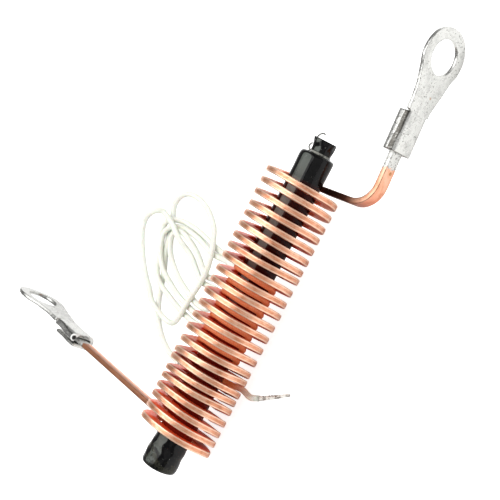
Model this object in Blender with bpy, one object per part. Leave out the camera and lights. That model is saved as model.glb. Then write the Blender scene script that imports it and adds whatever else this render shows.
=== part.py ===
"""Arc starting coil: an edge wound copper strip over a wire wound ferrite rod, lying on its side.

Everything is built in the coil's own frame (x to the right, y up the rod, z toward the viewer, rod's
lower end at the origin) and then laid down on the floor by two angles and a lift. Sizes are metres.
"""
import math

import bpy
import numpy as np

for old in list(bpy.data.objects):
    bpy.data.objects.remove(old, do_unlink=True)

# Clearance between pieces that touch.
FIT_GAP = 0.00025

# Ferrite rod and its heat shrink sleeve.
ROD_RADIUS = 0.00465
ROD_LENGTH = 0.1000
ROD_START = 0.0009
SLEEVE_WALL = 0.00025
NECK_LENGTH = 0.0046
SLEEVE_INNER = ROD_RADIUS + 0.0003
SLEEVE_RADIUS = SLEEVE_INNER + SLEEVE_WALL

# White insulated wire: the winding on the sleeve, its short start lead and its long finish lead.
WIRE_DIAMETER = 0.0019
# The winding lies under these turns of the strip, counted from the top, and turns back behind the rod.
WINDING_UNDER = range(8, 15)
HIGH_EXIT_ANGLE = 275.0
LOW_EXIT_ANGLE = 255.0
LOW_EXIT_HEIGHT = 0.0308
RETURN_ANGLE = 268.0
CORE_DIAMETER = 0.0011
WIRE_RADIUS = WIRE_DIAMETER / 2
WINDING_RADIUS = SLEEVE_RADIUS + 0.00015 + WIRE_RADIUS

# Copper strip wound on its edge.
STRIP_WIDTH = 0.0043
STRIP_THICKNESS = 0.0018
STRIP_INNER = WINDING_RADIUS + WIRE_RADIUS + 0.0002
STRIP_OUTER = STRIP_INNER + STRIP_WIDTH
STRIP_MIDDLE = (STRIP_INNER + STRIP_OUTER) / 2
STEPS_PER_TURN = 24
# Height of every turn where it passes the left side and the right side, in millimetres from the foot.
LEFT_HEIGHTS = [93.2, 89.7, 85.9, 82.2, 79.0, 75.5, 72.0, 68.7, 65.4, 61.1, 57.5, 53.7, 49.9, 45.8, 41.9,
                37.9, 34.3, 32.1, 28.4, 25.7, 22.7, 19.7, 16.2, 12.6]
RIGHT_HEIGHTS = [91.4, 87.7, 83.9, 80.5, 77.0, 73.5, 70.0, 67.3, 63.4, 59.6, 55.8, 51.9, 48.1, 44.4, 40.4,
                 36.5, 33.9, 29.7, 27.1, 24.2, 20.3, 16.8, 13.6, 10.2]
# How far the turns lean, their fronts raised and their backs lowered: height and lean, in millimetres.
LEAN_HEIGHTS = [10.0, 16.0, 24.0, 45.0, 70.0, 93.0]
LEANS = [1.2, 1.5, 1.7, 1.25, 0.7, 0.75]

# The strip's own ends run on as the two leads.
UPPER_LEAVE_ANGLE = 134.7
UPPER_RISE = 5.35
UPPER_LEAVE_HEIGHT = 0.0946
UPPER_STRAIGHT = 0.0119
UPPER_BEND_RADIUS = 0.0071
UPPER_BEND_ANGLE = 89.4
UPPER_TAIL = 0.0101
LOWER_LEAVE_ANGLE = 44.7
LOWER_RISE = 1.5
LOWER_LEAVE_HEIGHT = 0.00985
LOWER_STRAIGHT = 0.0682

# Folded ring lugs, both alike.
LUG_SHEET = 0.0013
LUG_LENGTH = 0.0385
LUG_RING_RADIUS = 0.00875
LUG_HOLE_RADIUS = 0.00525
BARREL_LENGTH = 0.0120
BARREL_WIDTH = 0.0092
BARREL_DEPTH = 0.0050
BAR_IN_BARREL = 0.0104
SEAM_AT_MOUTH = 0.0006
SEAM_AT_RING = 0.0026
EAR_BEND = 0.0014
NOTCH = 0.0005
RING_CENTRE = LUG_LENGTH - LUG_RING_RADIUS
PLATE_OFFSET = STRIP_THICKNESS / 2 + FIT_GAP + LUG_SHEET / 2

# How it lies: the upward direction in the coil's frame, from a roll about the rod and a pitch along it.
ROLL = 49.034
PITCH = 3.378

MM = 0.001


def unit(v):
    """The vector at length one."""
    v = np.asarray(v, float)
    return v / np.linalg.norm(v)


roll, pitch = math.radians(ROLL), math.radians(PITCH)
UP = np.array([-math.sin(roll) * math.cos(pitch), math.sin(pitch), math.cos(roll) * math.cos(pitch)])
ALONG = unit(np.array([0.0, 1.0, 0.0]) - UP * UP[1])
ACROSS = np.cross(ALONG, UP)
TURN = np.array([ACROSS, ALONG, UP])


def spline(points, count):
    """A smooth curve through the points, cut into even steps."""
    p = np.asarray(points, float)
    ends = np.vstack([2 * p[0] - p[1], p, 2 * p[-1] - p[-2]])
    fine = []
    for i in range(len(p) - 1):
        a, b, c, d = ends[i:i + 4]
        ab, bc, cd = (max(np.linalg.norm(q), 1e-9) ** 0.5 for q in (b - a, c - b, d - c))
        m1 = (c - b) + bc * ((b - a) / ab - (c - a) / (ab + bc))
        m2 = (c - b) + bc * ((d - c) / cd - (d - b) / (bc + cd))
        t = np.linspace(0, 1, 24, endpoint=False)[:, None]
        fine.append((2 * t ** 3 - 3 * t ** 2 + 1) * b + (t ** 3 - 2 * t ** 2 + t) * m1
                    + (3 * t ** 2 - 2 * t ** 3) * c + (t ** 3 - t ** 2) * m2)
    fine = np.vstack(fine + [p[-1:]])
    run = np.concatenate([[0], np.cumsum(np.linalg.norm(np.diff(fine, axis=0), axis=1))])
    at = np.linspace(0, run[-1], count)
    return np.stack([np.interp(at, run, fine[:, k]) for k in range(fine.shape[1])], 1)


def collection(name):
    """A collection of this name in the scene."""
    found = bpy.data.collections.new(name)
    bpy.context.scene.collection.children.link(found)
    return found


OBJECT = collection("arc_starting_coil")
CUTTERS = collection("cutters")


def material(name, colour, roughness, metallic):
    """A plain surface."""
    m = bpy.data.materials.new(name)
    m.use_nodes = True
    shader = m.node_tree.nodes["Principled BSDF"]
    shader.inputs["Base Color"].default_value = (*colour, 1)
    shader.inputs["Roughness"].default_value = roughness
    shader.inputs["Metallic"].default_value = metallic
    return m


def add(name, points, faces, look=None, smooth=True, where=None):
    """One named object from points in the coil's frame."""
    mesh = bpy.data.meshes.new(name)
    mesh.from_pydata([tuple(p) for p in points], [], faces)
    mesh.validate()
    mesh.polygons.foreach_set("use_smooth", [smooth] * len(mesh.polygons))
    mesh.update()
    ob = bpy.data.objects.new(name, mesh)
    (where or OBJECT).objects.link(ob)
    if look:
        mesh.materials.append(look)
    return ob


def loft(rings, closed_ends=True):
    """Points and faces of a skin over rings of equal count, seen from outside."""
    rings = np.asarray(rings)
    n, m = rings.shape[:2]
    faces = []
    for i in range(n - 1):
        for j in range(m):
            k = (j + 1) % m
            faces.append((i * m + j, i * m + k, (i + 1) * m + k, (i + 1) * m + j))
    if closed_ends:
        faces.append(tuple(range(m))[::-1])
        faces.append(tuple(range((n - 1) * m, n * m)))
    return rings.reshape(-1, 3), faces


def facing_out(ob):
    """Turns the faces outward when the enclosed volume comes out negative."""
    mesh = ob.data
    mesh.calc_loop_triangles()
    v = np.array([p.co for p in mesh.vertices])
    t = np.array([x.vertices for x in mesh.loop_triangles])
    if np.einsum("ij,ij->i", v[t[:, 0]], np.cross(v[t[:, 1]], v[t[:, 2]])).sum() < 0:
        mesh.flip_normals()
    return ob


def tube(name, path, radius, look, sides=8):
    """A round tube along a path, the radius one number or one for each point."""
    p = np.asarray(path, float)
    radius = np.broadcast_to(radius, len(p))
    t = np.gradient(p, axis=0)
    t /= np.linalg.norm(t, axis=1)[:, None]
    side = unit(np.cross(t[0], [0.3, 0.2, 0.93]))
    rings = []
    for i in range(len(p)):
        side = unit(side - t[i] * (side @ t[i]))
        other = np.cross(t[i], side)
        a = np.linspace(0, 2 * math.pi, sides, endpoint=False)[:, None]
        rings.append(p[i] + radius[i] * (np.cos(a) * side + np.sin(a) * other))
    return facing_out(add(name, *loft(rings), look))


COPPER = material("copper", (0.83, 0.42, 0.26), 0.32, 1.0)
TIN = material("tinned_brass", (0.72, 0.72, 0.70), 0.38, 1.0)
SOLDER = material("solder", (0.60, 0.60, 0.59), 0.45, 1.0)
FERRITE = material("ferrite", (0.045, 0.042, 0.040), 0.55, 0.0)
SLEEVE = material("black_sleeve", (0.012, 0.012, 0.013), 0.22, 0.0)
WHITE = material("white_insulation", (0.86, 0.87, 0.82), 0.6, 0.0)
STRANDS = material("bare_strands", (0.42, 0.36, 0.31), 0.5, 1.0)

# The copper strip: upper lead, all turns, lower lead, in one sweep.


def around(angle, radius, height):
    """A point on the coil, the angle measured from the left side over the front."""
    return np.array([-radius * math.cos(angle), height, radius * math.sin(angle)])


def upper_lead():
    """Points of the upper lead from the coil outward, its wide direction and its plate normal."""
    a, g = math.radians(UPPER_LEAVE_ANGLE), math.radians(UPPER_RISE)
    start = around(-a, STRIP_MIDDLE, UPPER_LEAVE_HEIGHT)
    d0 = np.array([math.sin(a) * math.cos(g), math.sin(g), -math.cos(a) * math.cos(g)])
    wide = np.array([-math.cos(a), 0, -math.sin(a)])
    e = np.cross(wide, d0)
    e = e if e[1] > 0 else -e
    bend_from = start + d0 * UPPER_STRAIGHT
    centre = bend_from + e * UPPER_BEND_RADIUS
    th = math.radians(UPPER_BEND_ANGLE)
    bend = [centre + UPPER_BEND_RADIUS * (d0 * math.sin(q) - e * math.cos(q)) for q in np.linspace(0, th, 9)]
    d1 = d0 * math.cos(th) + e * math.sin(th)
    mouth = bend[-1] + d1 * UPPER_TAIL
    points = [start + d0 * UPPER_STRAIGHT * q for q in (0.2, 0.5, 0.8)] + bend
    points += [mouth, mouth + d1 * BAR_IN_BARREL]
    return points, wide, d1, d0 * math.sin(th) - e * math.cos(th), mouth


def lower_lead():
    """Points of the lower lead from the coil outward, its wide direction and its plate normal."""
    b, g = math.radians(LOWER_LEAVE_ANGLE), math.radians(LOWER_RISE)
    start = around(math.pi + b, STRIP_MIDDLE, LOWER_LEAVE_HEIGHT)
    d = np.array([-math.sin(b) * math.cos(g), math.sin(g), -math.cos(b) * math.cos(g)])
    wide = np.array([math.cos(b), 0, -math.sin(b)])
    n = np.cross(wide, d)
    n = n if n[1] > 0 else -n
    mouth = start + d * LOWER_STRAIGHT
    points = [start + d * LOWER_STRAIGHT * q for q in (0.03, 0.2, 0.6)] + [mouth, mouth + d * BAR_IN_BARREL]
    return points, wide, d, n, mouth


up_points, up_wide, up_dir, up_normal, up_mouth = upper_lead()
low_points, low_wide, low_dir, low_normal, low_mouth = lower_lead()

first = -math.radians(UPPER_LEAVE_ANGLE)
last = math.pi * (2 * len(LEFT_HEIGHTS) - 1) + math.radians(LOWER_LEAVE_ANGLE)
knots = [(first, UPPER_LEAVE_HEIGHT)]
for k, (left, right) in enumerate(zip(LEFT_HEIGHTS, RIGHT_HEIGHTS)):
    knots += [(2 * math.pi * k, left * MM), (math.pi * (2 * k + 1), right * MM)]
knots.append((last, LOWER_LEAVE_HEIGHT))
knots = np.array(knots)
slope = np.gradient(knots[:, 1], knots[:, 0])


def turn_height(angle):
    """Height of the strip at an angle of the winding: smooth through the measured sides, leaning between."""
    i = int(np.clip(np.searchsorted(knots[:, 0], angle) - 1, 0, len(knots) - 2))
    (x0, y0), (x1, y1) = knots[i], knots[i + 1]
    h = x1 - x0
    t = (angle - x0) / h
    y = ((2 * t ** 3 - 3 * t ** 2 + 1) * y0 + (t ** 3 - 2 * t ** 2 + t) * h * slope[i]
         + (3 * t ** 2 - 2 * t ** 3) * y1 + (t ** 3 - t ** 2) * h * slope[i + 1])
    front = math.sin(angle)
    lean = 1.5 * front + (front ** 2 if front < 0 else -0.5 * front ** 3)
    calm = np.clip(min(angle - first, last - angle) / math.pi, 0, 1)
    return y + lean * np.interp(y, np.array(LEAN_HEIGHTS) * MM, np.array(LEANS) * MM) * calm ** 2 * (3 - 2 * calm)


steps = int(round((last - first) / (2 * math.pi) * STEPS_PER_TURN))
angles = np.linspace(first, last, steps + 1)
middle = up_points[::-1] + [around(q, STRIP_MIDDLE, turn_height(q)) for q in angles] + low_points
wides = ([up_wide] * len(up_points) + [np.array([-math.cos(q), 0, math.sin(q)]) for q in angles]
         + [low_wide] * len(low_points))
middle, wides = np.array(middle), np.array(wides)
hw, ht = STRIP_WIDTH / 2, STRIP_THICKNESS / 2
profile = [(-hw, -ht * 0.45), (-hw + ht * 0.55, -ht), (hw - ht * 0.55, -ht), (hw, -ht * 0.45),
           (hw, ht * 0.45), (hw - ht * 0.55, ht), (-hw + ht * 0.55, ht), (-hw, ht * 0.45)]
forward = np.gradient(middle, axis=0)
forward /= np.linalg.norm(forward, axis=1)[:, None]
strip_rings = []
for p, w, f in zip(middle, wides, forward):
    n = unit(np.cross(w, f))
    strip_rings.append([p + w * a + n * b for a, b in profile])
facing_out(add("copper_strip_coil", *loft(strip_rings), COPPER, smooth=False))

# Folded ring lugs: a flat plate with a ring, and two ears folded round the end of the strip.


def half_width(a):
    """Half width of the plate at a distance from its mouth end, up to where the ring takes over."""
    t = np.clip((a - BARREL_LENGTH) / (RING_CENTRE - 0.0046 - BARREL_LENGTH), 0, 1)
    at_ring = math.sqrt(LUG_RING_RADIUS ** 2 - 0.0046 ** 2)
    return BARREL_WIDTH / 2 + (at_ring - BARREL_WIDTH / 2) * t ** 1.7


def lug(name, mouth, along, wide, normal):
    """The lug at the end of a lead: plate, folded ears and bolt hole."""
    def place(a, b, c):
        return mouth + along * a + wide * b + normal * (PLATE_OFFSET + c)

    flat = BARREL_WIDTH / 2 - LUG_SHEET / 2 - EAR_BEND
    side = [(0.0, flat), (BARREL_LENGTH - NOTCH, flat)]
    side += [(a, half_width(a)) for a in np.linspace(BARREL_LENGTH + NOTCH, RING_CENTRE - 0.0046, 7)]
    reach = math.asin(0.0046 / LUG_RING_RADIUS)
    arc = [(RING_CENTRE + LUG_RING_RADIUS * math.sin(q), LUG_RING_RADIUS * math.cos(q))
           for q in np.linspace(-reach, math.pi / 2, 14)][1:]
    outline = side + arc
    outline += [(a, -b) for a, b in reversed(outline[:-1])]
    half = LUG_SHEET / 2
    rings = [[place(a, b, c) for a, b in outline] for c in (-half, half)]
    plate = facing_out(add(name, *loft(rings), TIN, smooth=False))

    bend = EAR_BEND
    wall = BARREL_WIDTH / 2 - half
    top = -(BARREL_DEPTH - LUG_SHEET)
    rings = []
    for q in np.linspace(0, 1, 5):
        seam = (SEAM_AT_MOUTH + (SEAM_AT_RING - SEAM_AT_MOUTH) * q) / 2 + half * 0.4
        line = [(0.0, 0.0), (wall - bend, 0.0)]
        line += [(wall - bend + bend * math.sin(t), -bend + bend * math.cos(t))
                 for t in np.linspace(0, math.pi / 2, 5)[1:]]
        line += [(wall - bend + bend * math.cos(t), top + bend - bend * math.sin(t))
                 for t in np.linspace(0, math.pi / 2, 5)]
        line += [(seam, top + 0.0001)]
        line = np.array([(-b, c) for b, c in line[:0:-1]] + line)
        t = np.gradient(line, axis=0)
        t /= np.linalg.norm(t, axis=1)[:, None]
        off = np.stack([-t[:, 1], t[:, 0]], 1) * (half - 0.00002)
        loop = np.vstack([line + off, (line - off)[::-1]])
        a = 0.0001 + (BARREL_LENGTH - 0.0001) * q
        rings.append([place(a, b, c) for b, c in loop])
    ears = facing_out(add(name + "_ears", *loft(rings), None, False, CUTTERS))
    a = np.linspace(0, 2 * math.pi, 24, endpoint=False)
    rings = [[place(RING_CENTRE + LUG_HOLE_RADIUS * math.cos(q), LUG_HOLE_RADIUS * math.sin(q), c) for q in a]
             for c in (-0.003, 0.003)]
    hole = facing_out(add(name + "_hole", *loft(rings), None, False, CUTTERS))
    for tool, how in ((ears, "UNION"), (hole, "DIFFERENCE")):
        tool.hide_render = True
        tool.display_type = "WIRE"
        mod = plate.modifiers.new(how.lower(), "BOOLEAN")
        mod.operation, mod.solver, mod.object = how, "EXACT", tool
    return place


def solder(name, place):
    """The pool of solder that shows in the seam past the end of the strip."""
    rings = []
    for a, b, c in ((0.0107, 0.0026, 0.0015), (0.0120, 0.0026, 0.0013), (0.0134, 0.0023, 0.0007),
                    (0.0142, 0.0016, 0.0003)):
        base = -(LUG_SHEET / 2 + FIT_GAP)
        rings.append([place(a, x * b, base - y * c) for x, y in ((-1, 0), (1, 0), (0.9, 0.7), (0.45, 1),
                                                                (-0.45, 1), (-0.9, 0.7))])
    facing_out(add(name, *loft(rings), SOLDER, smooth=False))


solder("upper_lug_solder", lug("upper_ring_lug", up_mouth, up_dir, up_wide, up_normal))
solder("lower_lug_solder", lug("lower_ring_lug", low_mouth, low_dir, low_wide, low_normal))

# Ferrite rod inside its sleeve; the sleeve is shrunk in past the rod's upper end and rolled at the lower.


def turned(name, rows, look, sides=36):
    """A skin over circles given as height, sideways offset and radius."""
    q = np.linspace(0, 2 * math.pi, sides, endpoint=False)
    rings = [[(x + r * math.cos(t), y, r * math.sin(t)) for t in q] for y, x, r in rows]
    return rings, name, look


rings, name, look = turned("ferrite_rod", [(ROD_START, 0, ROD_RADIUS - 0.0003), (ROD_START + 0.0003, 0, ROD_RADIUS),
                                           (ROD_START + ROD_LENGTH - 0.0003, 0, ROD_RADIUS),
                                           (ROD_START + ROD_LENGTH, 0, ROD_RADIUS - 0.0003)], FERRITE)
facing_out(add(name, *loft(rings), look))

top = ROD_START + ROD_LENGTH
r = SLEEVE_RADIUS
outer = [(0.0, -0.0003, r - 0.0008), (0.0003, -0.0003, r - 0.0001), (0.0010, -0.0003, r + 0.0002),
         (0.0035, -0.0003, r + 0.00025), (0.0090, -0.0001, r + 0.00005), (0.0140, 0, r), (top + 0.0010, 0, r),
         (top + 0.0017, 0.0001, r - 0.00025), (top + 0.00205, 0.0003, r - 0.0009),
         (top + 0.00225, 0.0006, r - 0.0019), (top + 0.0027, 0.00073, r - 0.00245),
         (top + 0.0039, 0.0007, r - 0.0025), (top + 0.0056, 0.0005, r - 0.0021),
         (top + 0.0020 + NECK_LENGTH, 0.00012, r - 0.0017)]
w = SLEEVE_WALL
inner = [(y, x, q - w) for y, x, q in outer[:8:-1]]
inner += [(top + 0.0018, 0.0003, r - 0.0012), (top + 0.0014, 0.0001, r - 0.0005)]
inner += [(y, x, q - w) for y, x, q in outer[6:1:-1]]
inner += [(w, -0.0003, r - 0.0006), (w, -0.0003, 0.0034), (0.0, -0.0003, 0.0034)]
rings, name, look = turned("heat_shrink_sleeve", outer + inner + [outer[0]], SLEEVE)
rings = rings[:-1]
n, m = len(rings), len(rings[0])
faces = [(i * m + j, i * m + (j + 1) % m, (i + 1) % n * m + (j + 1) % m, (i + 1) % n * m + j)
         for i in range(n) for j in range(m)]
facing_out(add(name, np.array(rings).reshape(-1, 3), faces, look))

# Winding of insulated wire on the sleeve, just under the turns of the strip, both ends led out between them.
UNDER_STRIP = (STRIP_THICKNESS + WIRE_DIAMETER) / 2 + 0.00005
high_a = 2 * math.pi * (WINDING_UNDER[0] - 1) + math.radians(HIGH_EXIT_ANGLE)
back_a = 2 * math.pi * WINDING_UNDER[-1] + math.radians(RETURN_ANGLE)
low_a = 2 * math.pi * WINDING_UNDER[-1] + math.radians(LOW_EXIT_ANGLE)
wind = np.linspace(high_a, back_a, int(14 * (back_a - high_a) / (2 * math.pi)))
body = [around(q, WINDING_RADIUS, turn_height(q) - UNDER_STRIP) for q in wind]
# Behind the rod the wire turns back in half a circle on the sleeve and comes out lower.
half = (body[-1][1] - LOW_EXIT_HEIGHT) / 2
turning = np.linspace(0, math.pi, 8)[1:]
body += [around(back_a + half / WINDING_RADIUS * math.sin(t), WINDING_RADIUS,
                LOW_EXIT_HEIGHT + half * (1 + math.cos(t))) for t in turning]
body.append(around(low_a, WINDING_RADIUS, LOW_EXIT_HEIGHT))
low_way = np.array([-math.sin(low_a), 0, -math.cos(low_a)])


# The coil and the two lugs are what it stands on, so they give the height above the floor.
LIFT = -min((TURN @ np.array(v.co)).dot((0, 0, 1)) for piece in ("copper_strip_coil", "upper_ring_lug", "lower_ring_lug")
            for v in bpy.data.objects[piece].data.vertices)


def to_coil(x, y, z):
    """A point given across, along and above the floor, in the coil's frame."""
    return TURN.T @ (np.array([x, y, z - LIFT]))


low_tail = [body[-1] + low_way * s + np.array([0, h, 0]) for s, h in
            ((0.003, 0.0), (0.0065, 0.0002), (0.0103, 0.0006))]
low_floor = [to_coil(0.0091, 0.0316, 0.0016), to_coil(0.0120, 0.0328, 0.00135)]
high_tail = [(0.0016, body[0][1] + 0.00005, -0.00675), (0.0032, body[0][1] + 0.0001, -0.0082),
             (0.00405, body[0][1] + 0.00015, -0.0101), (0.00426, body[0][1] + 0.0002, -0.0121)]
low_end = spline([body[-1]] + low_tail + low_floor, 9)[1:]
high_end = spline([body[0]] + high_tail, 8)[1:]
tube("wire_winding", list(high_end[::-1]) + body + list(low_end), WIRE_RADIUS, WHITE)

# Bare strands where the insulation of the short lead is cut back.
strip_end = spline([to_coil(0.0124, 0.0330, 0.00132), to_coil(0.0174, 0.0361, 0.0010), to_coil(0.0217, 0.0390, 0.0008)], 9)
tube("start_lead_strands", strip_end, np.linspace(CORE_DIAMETER / 2, CORE_DIAMETER / 4, 9), STRANDS, 6)

# Long finish lead: leaves under the coil, lies behind it in loops and comes back under it.
# Each row is across, along (both mm from the rod's foot on the floor) and which layer it lies in.
exit_point = TURN @ high_end[-1] + np.array([0, 0, LIFT])
exit_way = unit(TURN @ (high_end[-1] - high_end[-2]))
ROUTE = [
    (-20.4, 64.1, 2), (-29.2, 62.8, 2), (-37.6, 62.5, 2), (-45.3, 63.5, 2), (-54.0, 64.2, 2),
    (-61.4, 63.7, 2), (-66.0, 61.3, 2), (-66.5, 57.2, 2), (-63.1, 51.4, 2), (-56.9, 45.2, 2),
    (-48.4, 41.4, 2), (-38.6, 39.6, 2), (-28.9, 39.2, 2), (-20.2, 41.9, 2), (-15.4, 48.5, 2),
    (-17.5, 56.0, 2), (-23.8, 60.2, 2), (-30.5, 61.0, 2), (-38.0, 60.4, 3), (-46.4, 62.0, 3),
    (-55.1, 62.3, 3), (-61.4, 61.3, 3), (-64.2, 57.8, 3), (-61.6, 52.6, 3), (-55.3, 47.4, 3),
    (-47.5, 43.9, 3), (-38.6, 42.3, 3), (-29.9, 41.8, 3), (-22.8, 43.9, 3), (-20.4, 49.0, 3),
    (-22.9, 54.2, 3), (-28.6, 55.4, 3), (-35.0, 53.2, 4), (-43.2, 56.6, 4), (-51.5, 60.4, 4),
    (-57.5, 60.9, 4), (-61.1, 57.6, 4), (-58.2, 53.0, 4), (-48.0, 47.8, 4), (-38.6, 45.3, 4),
    (-33.0, 44.3, 4), (-27.9, 44.8, 4), (-24.6, 48.2, 4), (-27.0, 51.9, 4), (-31.5, 51.4, 4),
    (-36.7, 50.9, 5), (-43.3, 53.8, 5), (-52.2, 58.3, 5), (-59.8, 61.7, 5), (-68.4, 63.3, 5),
    (-76.1, 62.3, 5), (-79.9, 58.4, 5), (-77.7, 53.6, 5), (-72.2, 48.2, 5), (-65.2, 42.8, 5),
    (-57.0, 38.5, 5), (-47.6, 35.5, 5), (-40.0, 34.2, 5), (-35.8, 37.1, 5), (-35.7, 42.8, 5),
    (-34.9, 49.1, 5), (-34.8, 55.8, 5), (-37.4, 62.4, 5), (-44.4, 67.5, 5), (-51.7, 71.5, 0),
    (-59.6, 73.2, 0), (-67.4, 71.9, 0), (-69.6, 67.4, 0), (-66.1, 63.1, 0), (-63.6, 58.3, 0),
    (-60.6, 52.2, 0), (-56.0, 46.4, 0), (-53.2, 41.0, 0), (-49.3, 35.4, 0), (-42.8, 30.2, 0),
    (-34.7, 26.9, 0), (-26.4, 25.9, 0)]
ROUTE_STEP = 0.0050
BEND_EASE = 0.0040
HUMP_EASE = 0.0045


def lay(route, start, way):
    """The route as a line on the floor that climbs over what lies in a lower layer where they cross."""
    flat = np.array([(x * MM, y * MM, layer * 1e-6) for x, y, layer in route])
    reach = (start[2] - WIRE_RADIUS) / -way[2]
    down = start + way * reach
    first = np.array([[start[0], start[1], 2e-6], [down[0], down[1], 2e-6]])
    line = spline(np.vstack([first, flat]), 800)
    xy, layer = line[:, :2], np.round(line[:, 2] * 1e6, 1)
    even = np.linalg.norm(line[1, :2] - line[0, :2])
    ease = int(round(BEND_EASE / even))
    weight = np.hanning(2 * ease + 3)[1:-1]
    weight /= weight.sum()
    lead_in, lead_out = xy[0] - xy[1], xy[-1] - xy[-2]
    padded = np.vstack([xy[0] + lead_in * np.arange(ease, 0, -1)[:, None], xy,
                        xy[-1] + lead_out * np.arange(1, ease + 1)[:, None]])
    xy = np.stack([np.convolve(padded[:, k], weight, "valid") for k in (0, 1)], 1)
    run = np.concatenate([[0], np.cumsum(np.linalg.norm(np.diff(xy, axis=0), axis=1))])
    floor = WIRE_RADIUS + 0.0001
    z = np.full(len(xy), floor)
    fall = np.linalg.norm(down[:2] - start[:2])
    z += np.clip(1 - run / (fall * 1.5), 0, 1) ** 1.5 * (start[2] - floor)
    pitch = WIRE_DIAMETER + 0.0001
    ease = int(round(HUMP_EASE / (run[-1] / (len(run) - 1))))
    hold = ease * 2 // 3
    weight = np.hanning(2 * ease + 3)[1:-1]
    weight /= weight.sum()
    placed = np.zeros(len(z), bool)
    for level in sorted(set(np.round(layer))):
        mine = np.round(layer) == level
        below = np.flatnonzero(placed)
        for i in np.flatnonzero(mine):
            j = below[np.abs(run[below] - run[i]) > 5 * WIRE_DIAMETER]
            d = np.linalg.norm(xy[j] - xy[i], axis=1)
            near = d < pitch
            if near.any():
                z[i] = max(z[i], (z[j[near]] + np.sqrt(pitch ** 2 - d[near] ** 2)).max())
        raised = np.array([z[max(0, i - hold):i + hold + 1].max() for i in range(len(z))])
        smooth = np.convolve(np.pad(raised, ease, mode="edge"), weight, "valid")
        z[mine] = np.maximum(smooth, floor)[mine]
        placed |= mine
    z = np.convolve(np.pad(z, 3, mode="edge"), np.ones(7) / 7, "valid")
    z[0] = start[2]
    return np.column_stack([xy, z])


line = lay(ROUTE, exit_point + exit_way * 0.0005, exit_way)
run = np.concatenate([[0], np.cumsum(np.linalg.norm(np.diff(line, axis=0), axis=1))])
count = int(run[-1] / ROUTE_STEP) + 1
at = np.linspace(0, run[-1], count)
lead = np.stack([np.interp(at, run, line[:, k]) for k in range(3)], 1)
tube("finish_lead", [to_coil(*p) for p in lead], WIRE_RADIUS, WHITE)
end, way = lead[-1], unit(lead[-1] - lead[-2])
bare = [end + way * s - np.array([0, 0, d]) for s, d in ((0.0003, 0.0), (0.002, 0.0001), (0.0045, 0.0002))]
tube("finish_lead_strands", [to_coil(*p) for p in bare], (CORE_DIAMETER / 2, CORE_DIAMETER / 2, CORE_DIAMETER / 3),
     STRANDS, 6)

# Lay everything down: the lowest rigid point on the floor, the rigid pieces' box centred on the origin.
CORDS = ("finish_lead", "finish_lead_strands")
every = [ob for ob in list(OBJECT.objects) + list(CUTTERS.objects)]
spans = []
for ob in every:
    v = np.array([p.co for p in ob.data.vertices]) @ TURN.T
    ob.data.vertices.foreach_set("co", v.ravel())
    if ob.name in OBJECT.objects and ob.name not in CORDS:
        spans.append((v.min(0), v.max(0)))
low, high = np.min([s[0] for s in spans], 0), np.max([s[1] for s in spans], 0)
shift = np.array([-(low[0] + high[0]) / 2, -(low[1] + high[1]) / 2, LIFT])
for ob in every:
    v = np.array([p.co for p in ob.data.vertices]) + shift
    ob.data.vertices.foreach_set("co", v.ravel())
    ob.data.update()
print("shift", [round(float(q), 6) for q in shift], "lowest", round(float(low[2] + LIFT), 6))
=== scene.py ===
"""Finished look of the arc starting coil: copper strip on its edge, folded lugs, film, white wire, studio.

Shapes are worked out in the coil's own frame (x to the right, y up the rod, z toward the viewer, rod's
lower end at the origin) and laid down into the row's frame by one turn and one shift. Lengths are in metres
unless a comment says millimetres.
"""
from math import asin, cos, pi, radians, sin, sqrt

import bpy
import numpy as np
from bpy.props import FloatProperty, FloatVectorProperty, PointerProperty
from bpy.types import Operator, Panel, PropertyGroup
from mathutils import Matrix, Vector


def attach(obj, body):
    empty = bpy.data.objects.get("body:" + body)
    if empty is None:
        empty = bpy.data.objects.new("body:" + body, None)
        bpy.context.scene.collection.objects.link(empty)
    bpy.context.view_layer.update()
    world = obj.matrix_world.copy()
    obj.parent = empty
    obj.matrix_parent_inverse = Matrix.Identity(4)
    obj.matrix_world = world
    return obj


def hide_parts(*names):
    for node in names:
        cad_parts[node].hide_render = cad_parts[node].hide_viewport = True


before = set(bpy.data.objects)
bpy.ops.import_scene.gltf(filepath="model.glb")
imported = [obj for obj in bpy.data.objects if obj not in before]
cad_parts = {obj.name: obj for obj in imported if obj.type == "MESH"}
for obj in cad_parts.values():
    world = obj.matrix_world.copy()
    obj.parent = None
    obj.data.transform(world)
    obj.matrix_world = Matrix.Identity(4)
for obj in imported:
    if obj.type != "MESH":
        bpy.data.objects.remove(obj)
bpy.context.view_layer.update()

bl_info = {
    "name": "Arc starting coil",
    "version": (1, 0, 0),
    "blender": (4, 5, 0),
    "location": "3D View > Sidebar > Coil",
    "description": "Builds the finished look of an edge wound copper coil on a ferrite rod",
    "category": "Add Mesh",
}

MM = 0.001
# Steps between two points of a curve before it is cut evenly.
CURVE_STEPS = 24

# How the coil lies in the row's frame.
ROLL = radians(49.034)
PITCH = radians(3.378)
SHIFT = np.array([0.042594, -0.076052, 0.011155])

# Rod and film.
FIT_GAP = 0.00025
ROD_RADIUS = 0.00465
ROD_START = 0.0009
ROD_LENGTH = 0.1000
FILM_WALL = 0.00025
FILM_RADIUS = ROD_RADIUS + 0.0003 + FILM_WALL
NECK_LENGTH = 0.0046
NECK_FOOT = ROD_START + ROD_LENGTH + 0.0020
# Heights between which the strip covers the film: begins, full, full, ends.
FILM_COVERED = (0.0105, 0.0125, 0.0930, 0.0950)

# White wire and its winding.
WIRE_RADIUS = 0.00095
WINDING_RADIUS = FILM_RADIUS + 0.00015 + WIRE_RADIUS
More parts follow.
